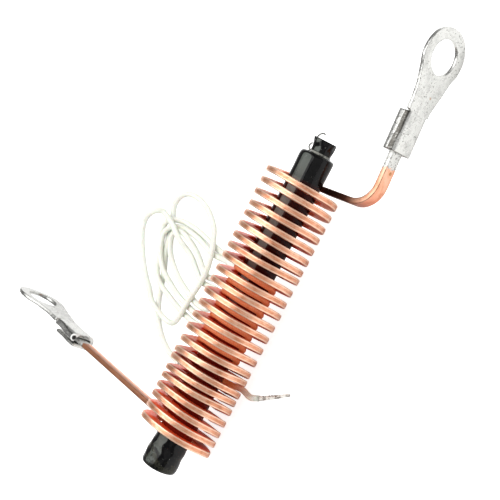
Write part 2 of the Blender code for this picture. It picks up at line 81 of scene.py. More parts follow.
# How the wire is drawn: its braid, and at its bare end strands that are twisted round one in the middle.
DRAWN_RADIUS = WIRE_RADIUS * 0.99
WIRE_SIDES = 20
BRAID_PITCH = 0.0021
CORE_RADIUS = 0.00055
STRANDS = 7
STRAND_PITCH = 0.0065
BARE_END = 0.0046
LOW_EXIT_HEIGHT = 0.0308
# The winding lies under these turns of the strip, counted from the top, and turns back behind the rod.
WINDING_UNDER = range(8, 15)
HIGH_EXIT = 2 * pi * (WINDING_UNDER[0] - 1) + radians(275.0)
LOW_EXIT = 2 * pi * WINDING_UNDER[-1] + radians(255.0)
RETURN = 2 * pi * WINDING_UNDER[-1] + radians(268.0)

# Copper strip: heights of the turns at their left and right sides, in millimetres.
STRIP_WIDTH = 0.0043
STRIP_THICKNESS = 0.0018
STRIP_INNER = WINDING_RADIUS + WIRE_RADIUS + 0.0002
STRIP_MIDDLE = STRIP_INNER + STRIP_WIDTH / 2
UNDER_STRIP = STRIP_THICKNESS / 2 + WIRE_RADIUS + 0.00005
LEFT_HEIGHTS = [93.2, 89.7, 85.9, 82.2, 79.0, 75.5, 72.0, 68.7, 65.4, 61.1, 57.5, 53.7, 49.9, 45.8, 41.9,
                37.9, 34.3, 32.1, 28.4, 25.7, 22.7, 19.7, 16.2, 12.6]
RIGHT_HEIGHTS = [91.4, 87.7, 83.9, 80.5, 77.0, 73.5, 70.0, 67.3, 63.4, 59.6, 55.8, 51.9, 48.1, 44.4, 40.4,
                 36.5, 33.9, 29.7, 27.1, 24.2, 20.3, 16.8, 13.6, 10.2]
# How far the turns lean, their fronts raised and their backs lowered: height and lean, in millimetres.
LEAN_HEIGHTS = [10.0, 16.0, 24.0, 45.0, 70.0, 93.0]
LEANS = [1.2, 1.5, 1.7, 1.25, 0.7, 0.75]
UPPER_LEAVE_ANGLE = radians(134.7)
UPPER_RISE = radians(5.35)
UPPER_LEAVE_HEIGHT = 0.0946
UPPER_STRAIGHT = 0.0119
UPPER_BEND_RADIUS = 0.0071
UPPER_BEND_ANGLE = radians(89.4)
UPPER_TAIL = 0.0101
LOWER_LEAVE_ANGLE = radians(44.7)
LOWER_RISE = radians(1.5)
LOWER_LEAVE_HEIGHT = 0.00985
LOWER_STRAIGHT = 0.0682
LOWER_LEAD_SLIM = 0.89
# How much of the strip is tinned at the upper and the lower end, and how soft the tin's edge is.
TIN_UPPER = 0.0170
TIN_LOWER = 0.0120
TIN_EDGE = 0.0003
# How far the upper turns' paler painted light and the lower turns' painted light from below reach along the
# strip: where they fade, and end.
HIGH_TURNS = (0.18, 0.36)
LOW_TURNS = (0.16, 0.34)
# Angles at which the strip's turns start and end, and the steps that each turn is drawn with.
STEPS_A_TURN = 64
FIRST_ANGLE = -UPPER_LEAVE_ANGLE
LAST_ANGLE = pi * (2 * len(LEFT_HEIGHTS) - 1) + LOWER_LEAVE_ANGLE

# Folded ring lugs.
LUG_SHEET = 0.0013
LUG_LENGTH = 0.0385
LUG_RING_RADIUS = 0.00875
LUG_HOLE_RADIUS = 0.00525
BARREL_LENGTH = 0.0120
BARREL_WIDTH = 0.0092
BARREL_DEPTH = 0.0050
BAR_IN_BARREL = 0.0104
SEAM_AT_MOUTH = 0.0006
SEAM_AT_RING = 0.0026
EAR_BEND = 0.0014
NOTCH = 0.0005
NECK_START = 0.0046
RING_CENTRE = LUG_LENGTH - LUG_RING_RADIUS
PLATE_OFFSET = STRIP_THICKNESS / 2 + FIT_GAP + LUG_SHEET / 2
SOLDER_PLACE = (0.0122, 0.0, -0.0006 - LUG_SHEET / 2 - FIT_GAP)
SOLDER_RADII = (0.0021, 0.0026, 0.0009)

# Camera, in the row's frame, and its lens for a square picture.
CAMERA_PLACE = (0.32887, 0.01118, 0.27210)
CAMERA_RIGHT = (0.55463, 0.49328, -0.67012)
CAMERA_UP = (-0.35549, 0.86861, 0.34517)
FRAME_PIXELS = 500
FOCAL_PIXELS = 1328
SENSOR = 36.0

# Light tent: level for the light it gives, and where it is mirrored.
TENT_LEVEL = 0.78
TENT_MIRRORED = 0.28

# Floor, and how far it is lifted toward white where it is seen.
FLOOR_HALF = 3.0
FLOOR_GLOW = 0.78
FLOOR_GLOW_MIRRORED = 0.10

# Grey card behind the camera: level, half width and height, how far back and to the right.
CARD_LEVEL = 0.55
CARD_HALF = 0.32
CARD_HALF_HEIGHT = 0.30
CARD_BEHIND = 0.12
CARD_OFFSET = 0.20

# Soft lamp over the coil: place, width and length, watts.
LAMP_PLACE = (0.01, 0.02, 0.48)
LAMP_SIZE = (0.56, 0.60)
LAMP_WATTS = 2.4

# Marks, as places in the row's frame: burnt spots, a painted dark hole in a painted highlight ring on the
# lower lug's mouth, and the side of the film that faces up, where the highlight is painted.
BURN_ON_LEAD = (0.0606, 0.0318, 0.0060)
BURN_ON_LUG = (0.0601, 0.0558, 0.0066)
PAINTED_HOLE_IN_LUG = (-0.0258, -0.0637, 0.0108)
HIGHLIGHT_SIDE = (0.26, -0.04, 0.965)


def unit(v):
    """Rows brought to length one."""
    v = np.asarray(v, float)
    return v / np.linalg.norm(v, axis=-1, keepdims=True)


# The way up and the rod's way along the floor, as the coil's own frame has them, and the turn they make.
UP = np.array([-sin(ROLL) * cos(PITCH), sin(PITCH), cos(ROLL) * cos(PITCH)])
ALONG = unit(np.array([0.0, 1.0, 0.0]) - UP * UP[1])
TURN = np.array([np.cross(ALONG, UP), ALONG, UP])


def lay_down(points):
    """Points of the coil's frame in the row's frame: turned, then shifted."""
    return np.asarray(points) @ TURN.T + SHIFT


def on_floor(points):
    """Points given across, along and above the floor from the rod's foot, in the row's frame."""
    return np.asarray(points, float) + SHIFT * (1, 1, 0)


def around(angle, radius, height):
    """Points on the coil: the angle runs from the left side over the front."""
    angle = np.asarray(angle, float)
    one = np.ones_like(angle)
    return np.stack([-radius * np.cos(angle), height * one, radius * np.sin(angle)], -1)


def hermite(t, start, end, way_in, way_out):
    """A cubic from start to end as t goes from nought to one, with its slopes at both."""
    return ((2 * t ** 3 - 3 * t ** 2 + 1) * start + (t ** 3 - 2 * t ** 2 + t) * way_in
            + (3 * t ** 2 - 2 * t ** 3) * end + (t ** 3 - t ** 2) * way_out)


def spline(points, count):
    """A centripetal Catmull-Rom curve through the points, cut into even steps."""
    p = np.asarray(points, float)
    ends = np.vstack([2 * p[0] - p[1], p, 2 * p[-1] - p[-2]])
    a, b, c, d = ends[:-3, None], ends[1:-2, None], ends[2:-1, None], ends[3:, None]
    gaps = (np.linalg.norm(q, axis=2, keepdims=True) for q in (b - a, c - b, d - c))
    ab, bc, cd = (np.maximum(gap, 1e-9) ** 0.5 for gap in gaps)
    m1 = (c - b) + bc * ((b - a) / ab - (c - a) / (ab + bc))
    m2 = (c - b) + bc * ((d - c) / cd - (d - b) / (bc + cd))
    t = np.linspace(0, 1, CURVE_STEPS, endpoint=False)[None, :, None]
    fine = np.vstack([hermite(t, b, c, m1, m2).reshape(-1, p.shape[1]), p[-1:]])
    return even(fine, count)


def run_of(line):
    """Length along a line at each of its points."""
    return np.concatenate([[0], np.cumsum(np.linalg.norm(np.diff(line, axis=0), axis=1))])


def even(line, count):
    """The line again, with this many points at even steps."""
    run = run_of(line)
    at = np.linspace(0, run[-1], count)
    return np.stack([np.interp(at, run, line[:, k]) for k in range(line.shape[1])], 1)


def wobble(x, seed, waves, longest):
    """A smooth uneven line between about minus one and one: a sum of sines of falling wavelength."""
    pick = np.random.default_rng(seed)
    total = np.zeros_like(np.asarray(x, float))
    for k in range(waves):
        total += np.sin(2 * pi * (x / longest * (1.7 ** k) + pick.random())) / (1.3 ** k)
    return total / 2.6


def show(name, data):
    """An object in the scene."""
    ob = bpy.data.objects.new(name, data)
    bpy.context.scene.collection.objects.link(ob)
    return ob


def make(name, parts, look, replaces=(), caps=True, uv=None):
    """A piece from stacks of closed rings of points in the row's frame, its map running u along, v around."""
    points, faces, maps, start = [], [], [], 0
    for rings in parts:
        n, m = rings.shape[:2]
        i, j = np.meshgrid(np.arange(n - 1), np.arange(m), indexing="ij")
        k = (j + 1) % m
        quads = np.stack([i * m + j, i * m + k, (i + 1) * m + k, (i + 1) * m + j], -1)
        faces += (quads.reshape(-1, 4) + start).tolist()
        run = np.linspace(0, 1, n) if uv is None else np.asarray(uv, float)
        across = np.linalg.norm(np.roll(rings[n // 2], -1, 0) - rings[n // 2], axis=1)
        across = np.concatenate([[0], np.cumsum(across)]) / across.sum()
        u = np.stack([run[i], run[i], run[i + 1], run[i + 1]], -1)
        v = np.stack([across[j], across[j + 1], across[j + 1], across[j]], -1)
        maps.append(np.stack([u.ravel(), v.ravel()], 1))
        if caps:
            for ring, at in ((np.arange(m)[::-1], 0), (np.arange((n - 1) * m, n * m), n - 1)):
                faces.append((ring + start).tolist())
                maps.append(np.stack([np.full(m, run[at]), (ring % m) / m], 1))
        points.append(rings.reshape(-1, 3))
        start += n * m
    mesh = bpy.data.meshes.new(name)
    mesh.from_pydata(np.vstack(points).tolist(), [], faces)
    layer = mesh.uv_layers.new(name="surface")
    layer.data.foreach_set("uv", np.vstack(maps).astype(np.float32).ravel())
    mesh.polygons.foreach_set("use_smooth", [True] * len(mesh.polygons))
    mesh.update()
    outward(mesh)
    mesh.materials.append(look)
    ob = show(name, mesh)
    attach(ob, "root")
    if replaces:
        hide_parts(*replaces)
    return ob


def outward(mesh):
    """Turns the faces round where the enclosed volume comes out negative."""
    mesh.calc_loop_triangles()
    co = np.empty(len(mesh.vertices) * 3)
    mesh.vertices.foreach_get("co", co)
    tri = np.empty(len(mesh.loop_triangles) * 3, int)
    mesh.loop_triangles.foreach_get("vertices", tri)
    p = co.reshape(-1, 3)[tri.reshape(-1, 3)]
    p = p - p.mean((0, 1))
    if np.einsum("ij,ij->i", p[:, 0], np.cross(p[:, 1], p[:, 2])).sum() < 0:
        mesh.flip_normals()


def tube_rings(line, radius, sides, ref):
    """Circles across a line, their first side carried along it without twist."""
    line = np.asarray(line, float)
    t = unit(np.gradient(line, axis=0))
    side = [unit(np.cross(np.asarray(ref, float), t[0]))]
    for way in t[1:]:
        side.append(unit(side[-1] - way * side[-1].dot(way)))
    side = np.array(side)
    other = np.cross(t, side)
    a = np.linspace(0, 2 * pi, sides, endpoint=False)[None, :, None]
    r = np.broadcast_to(np.asarray(radius, float), len(line))[:, None, None]
    return line[:, None] + r * (np.cos(a) * side[:, None] + np.sin(a) * other[:, None])


class Nodes:
    """A node tree, a new material's or one given, with short words for the nodes that these finishes use."""

    def __init__(self, name="", tree=None):
        self.tree = tree
        if tree is None:
            self.look = bpy.data.materials.new(name)
            self.look.use_nodes = True
            self.tree = self.look.node_tree
            self.shader = self.tree.nodes["Principled BSDF"]
            self.place = self.add("ShaderNodeTexCoord")

    def add(self, kind, **values):
        """A new node; values name its properties."""
        node = self.tree.nodes.new(kind)
        for key, value in values.items():
            setattr(node, key, value)
        return node

    def join(self, out, socket):
        """A link, or a plain value when the first is a number or colour."""
        if isinstance(out, bpy.types.NodeSocket):
            self.tree.links.new(out, socket)
        else:
            socket.default_value = out

    def uv(self):
        """The piece's own map: how far along it, and how far round."""
        node = self.add("ShaderNodeSeparateXYZ")
        self.join(self.place.outputs["UV"], node.inputs[0])
        return node.outputs[0], node.outputs[1]

    def scaled(self, scale, source="Object", turn=(0, 0, 0)):
        """Coordinates stretched by three factors."""
        node = self.add("ShaderNodeMapping")
        self.join(self.place.outputs[source], node.inputs["Vector"])
        node.inputs["Scale"].default_value = scale
        node.inputs["Rotation"].default_value = turn
        return node.outputs["Vector"]

    def noise(self, scale, detail=4, rough=0.55, vector=None, warp=0.0):
        """Cloudy noise from nought to one."""
        node = self.add("ShaderNodeTexNoise")
        self.join(vector or self.place.outputs["Object"], node.inputs["Vector"])
        for key, value in (("Scale", scale), ("Detail", detail), ("Roughness", rough), ("Distortion", warp)):
            node.inputs[key].default_value = value
        return node.outputs["Fac"]

    def cells(self, scale):
        """Distance to the nearest of scattered points."""
        node = self.add("ShaderNodeTexVoronoi")
        self.join(self.place.outputs["Object"], node.inputs["Vector"])
        node.inputs["Scale"].default_value = scale
        return node.outputs["Distance"]

    def ramp(self, fac, stops):
        """Colours or greys at places along a ramp, held past its first and last place."""
        node = self.add("ShaderNodeValToRGB")
        self.join(fac, node.inputs["Fac"])
        elements = node.color_ramp.elements
        while len(elements) < len(stops):
            elements.new(0.5)
        for element, (at, colour) in zip(elements, stops):
            element.position = at
            colour = (colour,) * 3 if isinstance(colour, (int, float)) else tuple(colour)
            element.color = (*colour, 1)
        return node.outputs["Color"]

    def mix(self, fac, a, b, mode="MIX"):
        """The first colour with the second laid over it, by a factor."""
        node = self.add("ShaderNodeMix", data_type="RGBA", blend_type=mode)
        self.join(fac, node.inputs["Factor"])
        for value, key in ((a, 6), (b, 7)):
            if not isinstance(value, bpy.types.NodeSocket):
                value = (*value, 1)
            self.join(value, node.inputs[key])
        return node.outputs[2]

    def math(self, kind, a, b=0.0, c=0.0):
        """One step of arithmetic."""
        node = self.add("ShaderNodeMath", operation=kind)
        for value, socket in zip((a, b, c), node.inputs):
            self.join(value, socket)
        return node.outputs[0]

    def times(self, first, *others):
        """All the values multiplied."""
        for other in others:
            first = self.math("MULTIPLY", first, other)
        return first

    def less(self, value):
        """What is left up to one."""
        return self.math("SUBTRACT", 1.0, value)

    def apart(self, a, b):
        """How far two values are apart."""
        return self.math("ABSOLUTE", self.math("SUBTRACT", a, b))

    def span(self, fac, low, high, to_low=0.0, to_high=1.0):
        """A range brought to another, held at its ends."""
        node = self.add("ShaderNodeMapRange")
        values = {"Value": fac, "From Min": low, "From Max": high, "To Min": to_low, "To Max": to_high}
        for key, value in values.items():
            self.join(value, node.inputs[key])
        return node.outputs[0]

    def zone(self, fac, rise, full, fade, gone):
        """One between two places, rising before them and fading after."""
        return self.times(self.span(fac, rise, full), self.span(fac, gone, fade))

    def near(self, place, reach, soft=0.0002):
        """One within reach of a place on the piece, fading out over a soft rim."""
        away = self.add("ShaderNodeVectorMath", operation="DISTANCE")
        self.join(self.place.outputs["Object"], away.inputs[0])
        away.inputs[1].default_value = place
        return self.span(away.outputs["Value"], reach + soft, reach)

    def bump(self, height, depth, strength=1.0, under=None):
        """A surface raised by a height from nought to one times a depth in metres."""
        node = self.add("ShaderNodeBump")
        self.join(height, node.inputs["Height"])
        node.inputs["Distance"].default_value = depth
        node.inputs["Strength"].default_value = strength
        if under is not None:
            self.join(under, node.inputs["Normal"])
        return node.outputs["Normal"]

    def fix(self, **values):
        """Plain values on the shader's own sockets."""
        for key, value in values.items():
            self.shader.inputs[key.replace("_", " ")].default_value = value

    def finish(self, colour, rough, metal=0.0, normal=None):
        """Ends the tree in its shader."""
        if not isinstance(colour, bpy.types.NodeSocket):
            colour = (*colour, 1)
        for value, key in ((colour, "Base Color"), (rough, "Roughness"), (metal, "Metallic")):
            self.join(value, self.shader.inputs[key])
        if normal is not None:
            self.join(normal, self.shader.inputs["Normal"])
        return self.look


def upper_lead():
    """Upper lead from the coil outward: a straight, a flatwise arc and a straight. Gives its line, wide
    direction, way at the lug, normal to the lug's plate and the lug's mouth."""
    a, g = UPPER_LEAVE_ANGLE, UPPER_RISE
    start = around(-a, STRIP_MIDDLE, UPPER_LEAVE_HEIGHT)
    d0 = np.array([sin(a) * cos(g), sin(g), -cos(a) * cos(g)])
    wide = np.array([-cos(a), 0, -sin(a)])
    e = np.cross(d0, wide)
    bend_from = start + d0 * UPPER_STRAIGHT
    centre = bend_from + e * UPPER_BEND_RADIUS
    q = np.linspace(0, UPPER_BEND_ANGLE, 28)[:, None]
    bend = centre + UPPER_BEND_RADIUS * (d0 * np.sin(q) - e * np.cos(q))
    th = UPPER_BEND_ANGLE
    d1 = d0 * cos(th) + e * sin(th)
    mouth = bend[-1] + d1 * UPPER_TAIL
    first = start + d0 * UPPER_STRAIGHT * np.linspace(0.06, 0.97, 14)[:, None]
    last = bend[-1] + d1 * np.linspace(0.0006, UPPER_TAIL + BAR_IN_BARREL, 22)[:, None]
    return np.vstack([first, bend, last]), wide, d1, d0 * sin(th) - e * cos(th), mouth


def lower_lead():
    """Lower lead from the coil outward, one straight: the same five values as the upper lead."""
    b, g = LOWER_LEAVE_ANGLE, LOWER_RISE
    start = around(pi + b, STRIP_MIDDLE, LOWER_LEAVE_HEIGHT)
    d = np.array([-sin(b) * cos(g), sin(g), -cos(b) * cos(g)])
    wide = np.array([cos(b), 0, -sin(b)])
    line = start + d * np.linspace(0.0010, LOWER_STRAIGHT + BAR_IN_BARREL, 90)[:, None]
    return line, wide, d, np.cross(wide, d), start + d * LOWER_STRAIGHT


def turn_heights(q):
    """Height of the strip at angles of the winding: cubics through its heights at the sides, plus a lean that
    follows the sine of the angle and dies out toward both leads."""
    x = np.concatenate([[FIRST_ANGLE], pi * np.arange(2 * len(LEFT_HEIGHTS)), [LAST_ANGLE]])
    sides = np.stack([LEFT_HEIGHTS, RIGHT_HEIGHTS], 1).ravel() * MM
    y = np.concatenate([[UPPER_LEAVE_HEIGHT], sides, [LOWER_LEAVE_HEIGHT]])
    slope = np.gradient(y, x)
    i = np.clip(np.searchsorted(x, q) - 1, 0, len(x) - 2)
    h = x[i + 1] - x[i]
    t = (q - x[i]) / h
    height = hermite(t, y[i], y[i + 1], h * slope[i], h * slope[i + 1])
    front = np.sin(q)
    lean = 1.5 * front + np.where(front < 0, front ** 2, -0.5 * front ** 3)
    lean *= np.interp(height, np.array(LEAN_HEIGHTS) * MM, np.array(LEANS) * MM)
    calm = np.clip(np.minimum((q - FIRST_ANGLE) / pi, (LAST_ANGLE - q) / 1.6), 0, 1)
    return height + lean * calm ** 2 * (3 - 2 * calm)


def rounded_section(width, height, radius, per_corner=5):
    """A rectangle with rounded corners, as points round it."""
    q = np.linspace(0, pi / 2, per_corner)
    corner = np.stack([np.cos(q), np.sin(q)], 1) * radius
    w, h = width / 2 - radius, height / 2 - radius
    parts = []
    for k, (sx, sy) in enumerate(((1, 1), (-1, 1), (-1, -1), (1, -1))):
        c, s = cos(k * pi / 2), sin(k * pi / 2)
        parts.append(corner @ np.array([[c, s], [-s, c]]) + (sx * w, sy * h))
    return np.vstack(parts)


def copper_look(colours, first, last, end):
    """Bare copper: salmon, brown patches and draw lines along the strip; on the turns, which lie between
    first and last along it, painted red copper light, a painted dark reflection and painted highlights;
    painted shade by the coil on the upper lead, a painted dark reflection on the lower, tinned ends."""
    n = Nodes("copper_strip")
    u, v = n.uv()
    depth = n.apart(v, 0.45)
    rim = n.apart(depth, 0.5)
    wound = n.zone(u, first, first + 0.006, last - 0.006, last)
    lines = n.noise(1.0, 5, 0.65, n.scaled((420, 42, 1), "UV"))
    dashes = n.ramp(n.noise(1.0, 4, 0.7, n.scaled((700, 30, 1), "UV")), [(0.44, 0.25), (0.60, 1.0)])
    spots = n.noise(900, 3, 0.7)
    tone = n.ramp(n.noise(210, 5, 0.6, warp=0.6),
                  [(0.30, colours.copper_dark), (0.45, colours.copper_mid), (0.62, colours.copper_pale)])
    tone = n.mix(0.45, tone, n.ramp(lines, [(0.30, colours.copper_dark), (0.46, 1.0)]), "MULTIPLY")
    tone = n.mix(n.times(n.ramp(spots, [(0.60, 0.0), (0.72, 1.0)]), 0.5), tone, colours.copper_dark)

    # The turns: a painted dark reflection as brown along the middle of the rim, a painted highlight as a pale
    # lip at its edges, painted copper light in red on the flats and insides, paler at the top.
    rim_reflection = n.times(wound, n.span(rim, 0.040, 0.026), dashes, 0.75)
    tone = n.mix(rim_reflection, tone, colours.copper_rim_dark_reflection, "MULTIPLY")
    # Painted highlight: pale lines along both edges of the rim.
    lip = n.times(wound, n.zone(rim, 0.036, 0.048, 0.066, 0.078), 0.6)
    tone = n.mix(lip, tone, (1.0, 0.80, 0.62))
    # Painted light: the flats and insides of the turns take red copper light bounced between the turns, paler
    # on the upper turns.
    high = n.span(u, first + HIGH_TURNS[1], first + HIGH_TURNS[0])
    within = n.times(wound, n.span(depth, 0.425, 0.36))
    tone = n.mix(within, tone, n.mix(high, colours.copper_red_light, colours.copper_upper_light))
    inside = n.mix(n.times(high, 0.6), colours.copper_inside_red_light, colours.copper_upper_light)
    tone = n.mix(n.times(wound, n.span(depth, 0.12, 0.07)), tone, inside)
    lit = n.times(within, n.span(u, last - LOW_TURNS[1], last - LOW_TURNS[0]))
    tone = n.mix(lit, tone, colours.copper_lit)

    # The leads: painted dark reflection in brown on the lower lead, painted copper light in red then painted
    # shade by the coil on the upper lead, painted shade lines at the corners.
    # Painted dark reflection: brown on the lower lead's inner half and flats.
    lead_reflection = n.times(n.span(u, last, last + 0.004), n.span(depth, 0.265, 0.250, 0.0, 0.90))
    tone = n.mix(lead_reflection, tone, n.mix(n.span(depth, 0.070, 0.090), colours.copper_lower_lead_reflection, colours.copper_lower_flat_reflection))
    inward = n.span(depth, 0.435, 0.415)
    # Painted copper light in red, then painted shade, on the upper lead where it leaves from behind the coil.
    red = n.times(n.zone(u, first - 0.022, first - 0.016, first, first + 0.001), inward)
    tone = n.mix(n.times(red, n.span(depth, 0.080, 0.095), 0.5), tone, colours.copper_red_light)
    dark = n.times(n.zone(u, first - 0.019, first - 0.010, first, first + 0.001), inward, 0.93)
    tone = n.mix(dark, tone, colours.copper_lead_shade)
    # Painted shade: dark lines along the leads' corners.
    corner = n.span(n.math("MINIMUM", n.apart(depth, 0.078), n.apart(depth, 0.424)), 0.012, 0.006)
    tone = n.mix(n.times(corner, n.less(wound), dashes, 0.95), tone, colours.copper_lead_shade)

    # The tinned ends, a burnt spot and the surface.
    edge = n.math("ADD", u, n.times(n.noise(1500, 3), 0.0030))
    tin = n.math("MAXIMUM", n.span(edge, TIN_UPPER, TIN_UPPER - TIN_EDGE),
                 n.span(edge, end - TIN_LOWER, end - TIN_LOWER + TIN_EDGE))
    grime = n.ramp(n.noise(1800, 4, 0.75), [(0.54, 0.0), (0.60, 0.8)])
    tone = n.mix(tin, tone, n.mix(grime, colours.tin, colours.tin_speck))
    burn = n.times(n.near(BURN_ON_LEAD, 0.0004, 0.0003), n.ramp(spots, [(0.35, 0.5), (0.50, 0.9)]))
    tone = n.mix(burn, tone, colours.rust)
    height = n.math("ADD", n.times(lines, 0.5), n.times(n.noise(650, 5, 0.6), 0.8))
    rough = n.span(n.noise(500, 4, 0.6), 0.3, 0.7, 0.27, 0.46)
    metal = n.math("SUBTRACT", 0.85, n.times(lit, 0.6))
    return n.finish(tone, rough, metal, n.bump(height, 0.00006, 0.55))


def tin_look(colours, name, shade, fold_at=None, painted_hole=None):
    """Dull tin over sheet: soft waves, pits, specks and scratches; a painted dark reflection along the bend
    of the ears and painted shade at the mouth, a painted dark hole in a painted highlight ring at a place on
    the mouth, and painted shade that darkens the whole by a factor."""
    n = Nodes(name)
    cloud, grain = n.noise(260, 5, 0.6), n.noise(1700, 4, 0.75)
    speck = n.ramp(grain, [(0.575, 0.0), (0.62, 1.0)])
    speck = n.times(speck, n.ramp(n.noise(330, 3), [(0.42, 0.15), (0.58, 1.0)]))
    drawn = n.noise(1.0, 3, 0.6, n.scaled((300, 2400, 900), turn=(0.3, 0.5, 0.4)))
    speck = n.math("MAXIMUM", speck, n.ramp(drawn, [(0.66, 0.0), (0.70, 1.0)]))
    tone = n.ramp(cloud, [(0.30, colours.tin_dark), (0.50, colours.tin)])
    tone = n.mix(n.times(speck, 0.9), tone, colours.tin_speck)
    # Painted dark reflection along the bend of the ears, and painted shade at the mouth.
    if fold_at:
        u, v = n.uv()
        start, end, mouth = fold_at
        fold = n.zone(v, start, start + 0.008, end - 0.008, end)
        fold = n.math("MAXIMUM", fold, n.span(u, 0.035, 0.015, 0.0, mouth))
        tone = n.mix(n.times(fold, n.ramp(grain, [(0.36, 0.35), (0.46, 1.0)])), tone, colours.tin_speck)
    # Painted shade: the whole finish darkened by a factor, for the lower lug.
    tone = n.mix(1.0, tone, (shade,) * 3, "MULTIPLY")
    tone = n.mix(n.times(n.near(BURN_ON_LUG, 0.0003), 0.5), tone, colours.rust)
    metal = 1.0
    # Painted dark hole and painted highlight ring on the mouth's end face; no hole is modelled.
    if painted_hole:
        ring = n.near(painted_hole, 0.0013)
        tone = n.mix(ring, tone, (0.80, 0.80, 0.78))
        tone = n.mix(n.near(painted_hole, 0.0007), tone, (0.004, 0.004, 0.004))
        metal = n.less(ring)
    height = n.math("ADD", n.noise(420, 5, 0.6), n.times(n.cells(900), 0.35))
    return n.finish(tone, n.span(cloud, 0.3, 0.7, 0.20, 0.38), metal, n.bump(height, 0.00020, 0.6))


def solder_look(colours):
    """Bright frozen solder."""
    n = Nodes("frozen_solder")
    cloud = n.noise(500, 4)
    tone = n.ramp(cloud, [(0.3, colours.tin_dark), (0.6, colours.tin)])
    return n.finish(tone, 0.24, 1.0, n.bump(cloud, 0.00015, 0.5))


def film_look(colours):
    """Black shrunk film, glossy and softly creased: a painted highlight on the side that faces up, scuffs at
    the lower end, a painted highlight ring at the neck; inside the turns painted copper light makes it red
    below and painted shade nearly black above."""
    n = Nodes("shrunk_film")
    u, _ = n.uv()
    crease = n.noise(300, 4, 0.6, warp=1.2)
    covered = n.zone(u, *FILM_COVERED)
    bare = n.less(covered)
    tone = n.ramp(n.noise(700, 4, 0.7), [(0.45, colours.film), (0.75, colours.film_worn)])
    tone = n.mix(covered, tone, n.mix(n.span(u, 0.048, 0.060), colours.film_warm, colours.film_shaded))
    # Painted highlight: a pale stripe where the film faces up, a brighter grey inside the turns.
    top = n.add("ShaderNodeVectorMath", operation="DOT_PRODUCT")
    n.join(n.place.outputs["Normal"], top.inputs[0])
    top.inputs[1].default_value = HIGHLIGHT_SIDE
    painted_highlight = n.times(n.span(top.outputs["Value"], 0.945, 0.960), n.ramp(crease, [(0.25, 0.6), (0.6, 1.0)]))
    broken = n.times(n.span(u, 0.0075, 0.0060), n.ramp(n.noise(420, 4, 0.7), [(0.44, 1.0), (0.50, 0.0)]))
    painted_highlight = n.times(painted_highlight, n.less(n.times(broken, 0.85)), n.math("MAXIMUM", bare, n.span(u, 0.046, 0.080)))
    tone = n.mix(painted_highlight, tone, n.mix(bare, colours.film_flecks_and_highlight, colours.film_painted_light))
    scuff = n.times(n.span(u, 0.0070, 0.0055), n.ramp(n.noise(260, 5, 0.7), [(0.50, 0.0), (0.58, 0.8)]))
    tone = n.mix(scuff, tone, colours.film_scuff)
    # Painted highlight: a pale ring at the foot of the neck.
    ring = n.zone(u, NECK_FOOT, NECK_FOOT + 0.0002, NECK_FOOT + 0.0006, NECK_FOOT + 0.0008)
    ring = n.times(ring, n.ramp(n.noise(500, 3), [(0.40, 0.2), (0.55, 0.9)]))
    tone = n.mix(ring, tone, colours.film_flecks_and_highlight)
    fleck = n.ramp(n.noise(2200, 3, 0.6), [(0.70, 0.0), (0.73, 1.0)])
    tone = n.mix(n.times(fleck, bare), tone, colours.film_flecks_and_highlight)
    normal = n.bump(n.noise(1400, 4, 0.6), 0.00002, 0.3, n.bump(crease, 0.00012, 0.4))
    n.join(n.span(covered, 0.0, 1.0, 0.22, 0.08), n.shader.inputs["Specular IOR Level"])
    return n.finish(tone, n.span(crease, 0.3, 0.7, 0.05, 0.12), 0.0, normal)


def shred_look(colours):
    """Thin torn film, grey where light shows through."""
    n = Nodes("film_shred")
    return n.finish(n.ramp(n.noise(2500, 3), [(0.4, colours.film_painted_light), (0.6, colours.film_flecks_and_highlight)]), 0.3)


def wire_look(name, clean, shade, lit=None):
    """Braid of slanting threads that cross, on the tube's own map, with painted shade in the grooves and
    toward the edges as seen;
    lit gives the painted colours that it has in the copper's light, where it also glows, and where along the
    wire that light starts and ends."""
    n = Nodes(name)
    u, v = n.uv()
    if lit:
        lit_clean, lit_shade, start, end = lit
        in_copper_light = n.zone(u, start, start + 0.010, end - 0.010, end)
        clean, shade = n.mix(in_copper_light, clean, lit_clean), n.mix(in_copper_light, shade, lit_shade)
        # Painted light: under the turns the wire glows in its shaded colour, standing in for the copper's
        # light.
        n.join(shade, n.shader.inputs["Emission Color"])
        n.join(n.times(in_copper_light, 0.24), n.shader.inputs["Emission Strength"])
    threads = []
    for sign in (1, -1):
        phase = n.math("MULTIPLY_ADD", v, 8.0 * sign, n.times(u, 1 / BRAID_PITCH, 3.0))
        threads.append(n.math("SINE", n.times(phase, 2 * pi)))
    height = n.span(n.math("MAXIMUM", *threads), -0.2, 1.0)
    # Painted shade in the grooves between the threads.
    tone = n.mix(n.times(n.less(height), 0.55), clean, shade)
    tone = n.mix(n.ramp(n.noise(1100, 4, 0.7), [(0.52, 0.0), (0.70, 0.6)]), tone, shade)
    # Painted shade toward the edges as seen.
    facing = n.add("ShaderNodeLayerWeight").outputs["Facing"]
    tone = n.mix(n.span(facing, 0.40, 0.90, 0.0, 0.75), tone, shade)
    n.fix(Subsurface_Weight=0.15, Subsurface_Scale=0.0006)
    return n.finish(tone, 0.62, 0.0, n.bump(height, 0.00012, 0.7))


def strand_look(colours):
    """Bare tinned copper strands, dulled."""
    n = Nodes("bare_strands")
    tone = n.ramp(n.noise(330, 3), [(0.42, colours.strand_dark), (0.52, colours.strand)])
    return n.finish(tone, 0.45, 0.4)


def ferrite_look():
    """Fired ferrite, dark and grainy."""
    n = Nodes("ferrite")
    grain = n.noise(3000, 4, 0.7)
    tone = n.ramp(grain, [(0.3, (0.03, 0.028, 0.027)), (0.7, (0.075, 0.07, 0.068))])
    return n.finish(tone, 0.6, 0.0, n.bump(grain, 0.00005, 0.5))


def length(name, words, value, low, high):
    """A length that a user would change."""
    return FloatProperty(name=name, description=words, default=value, min=low, max=high, subtype="DISTANCE")


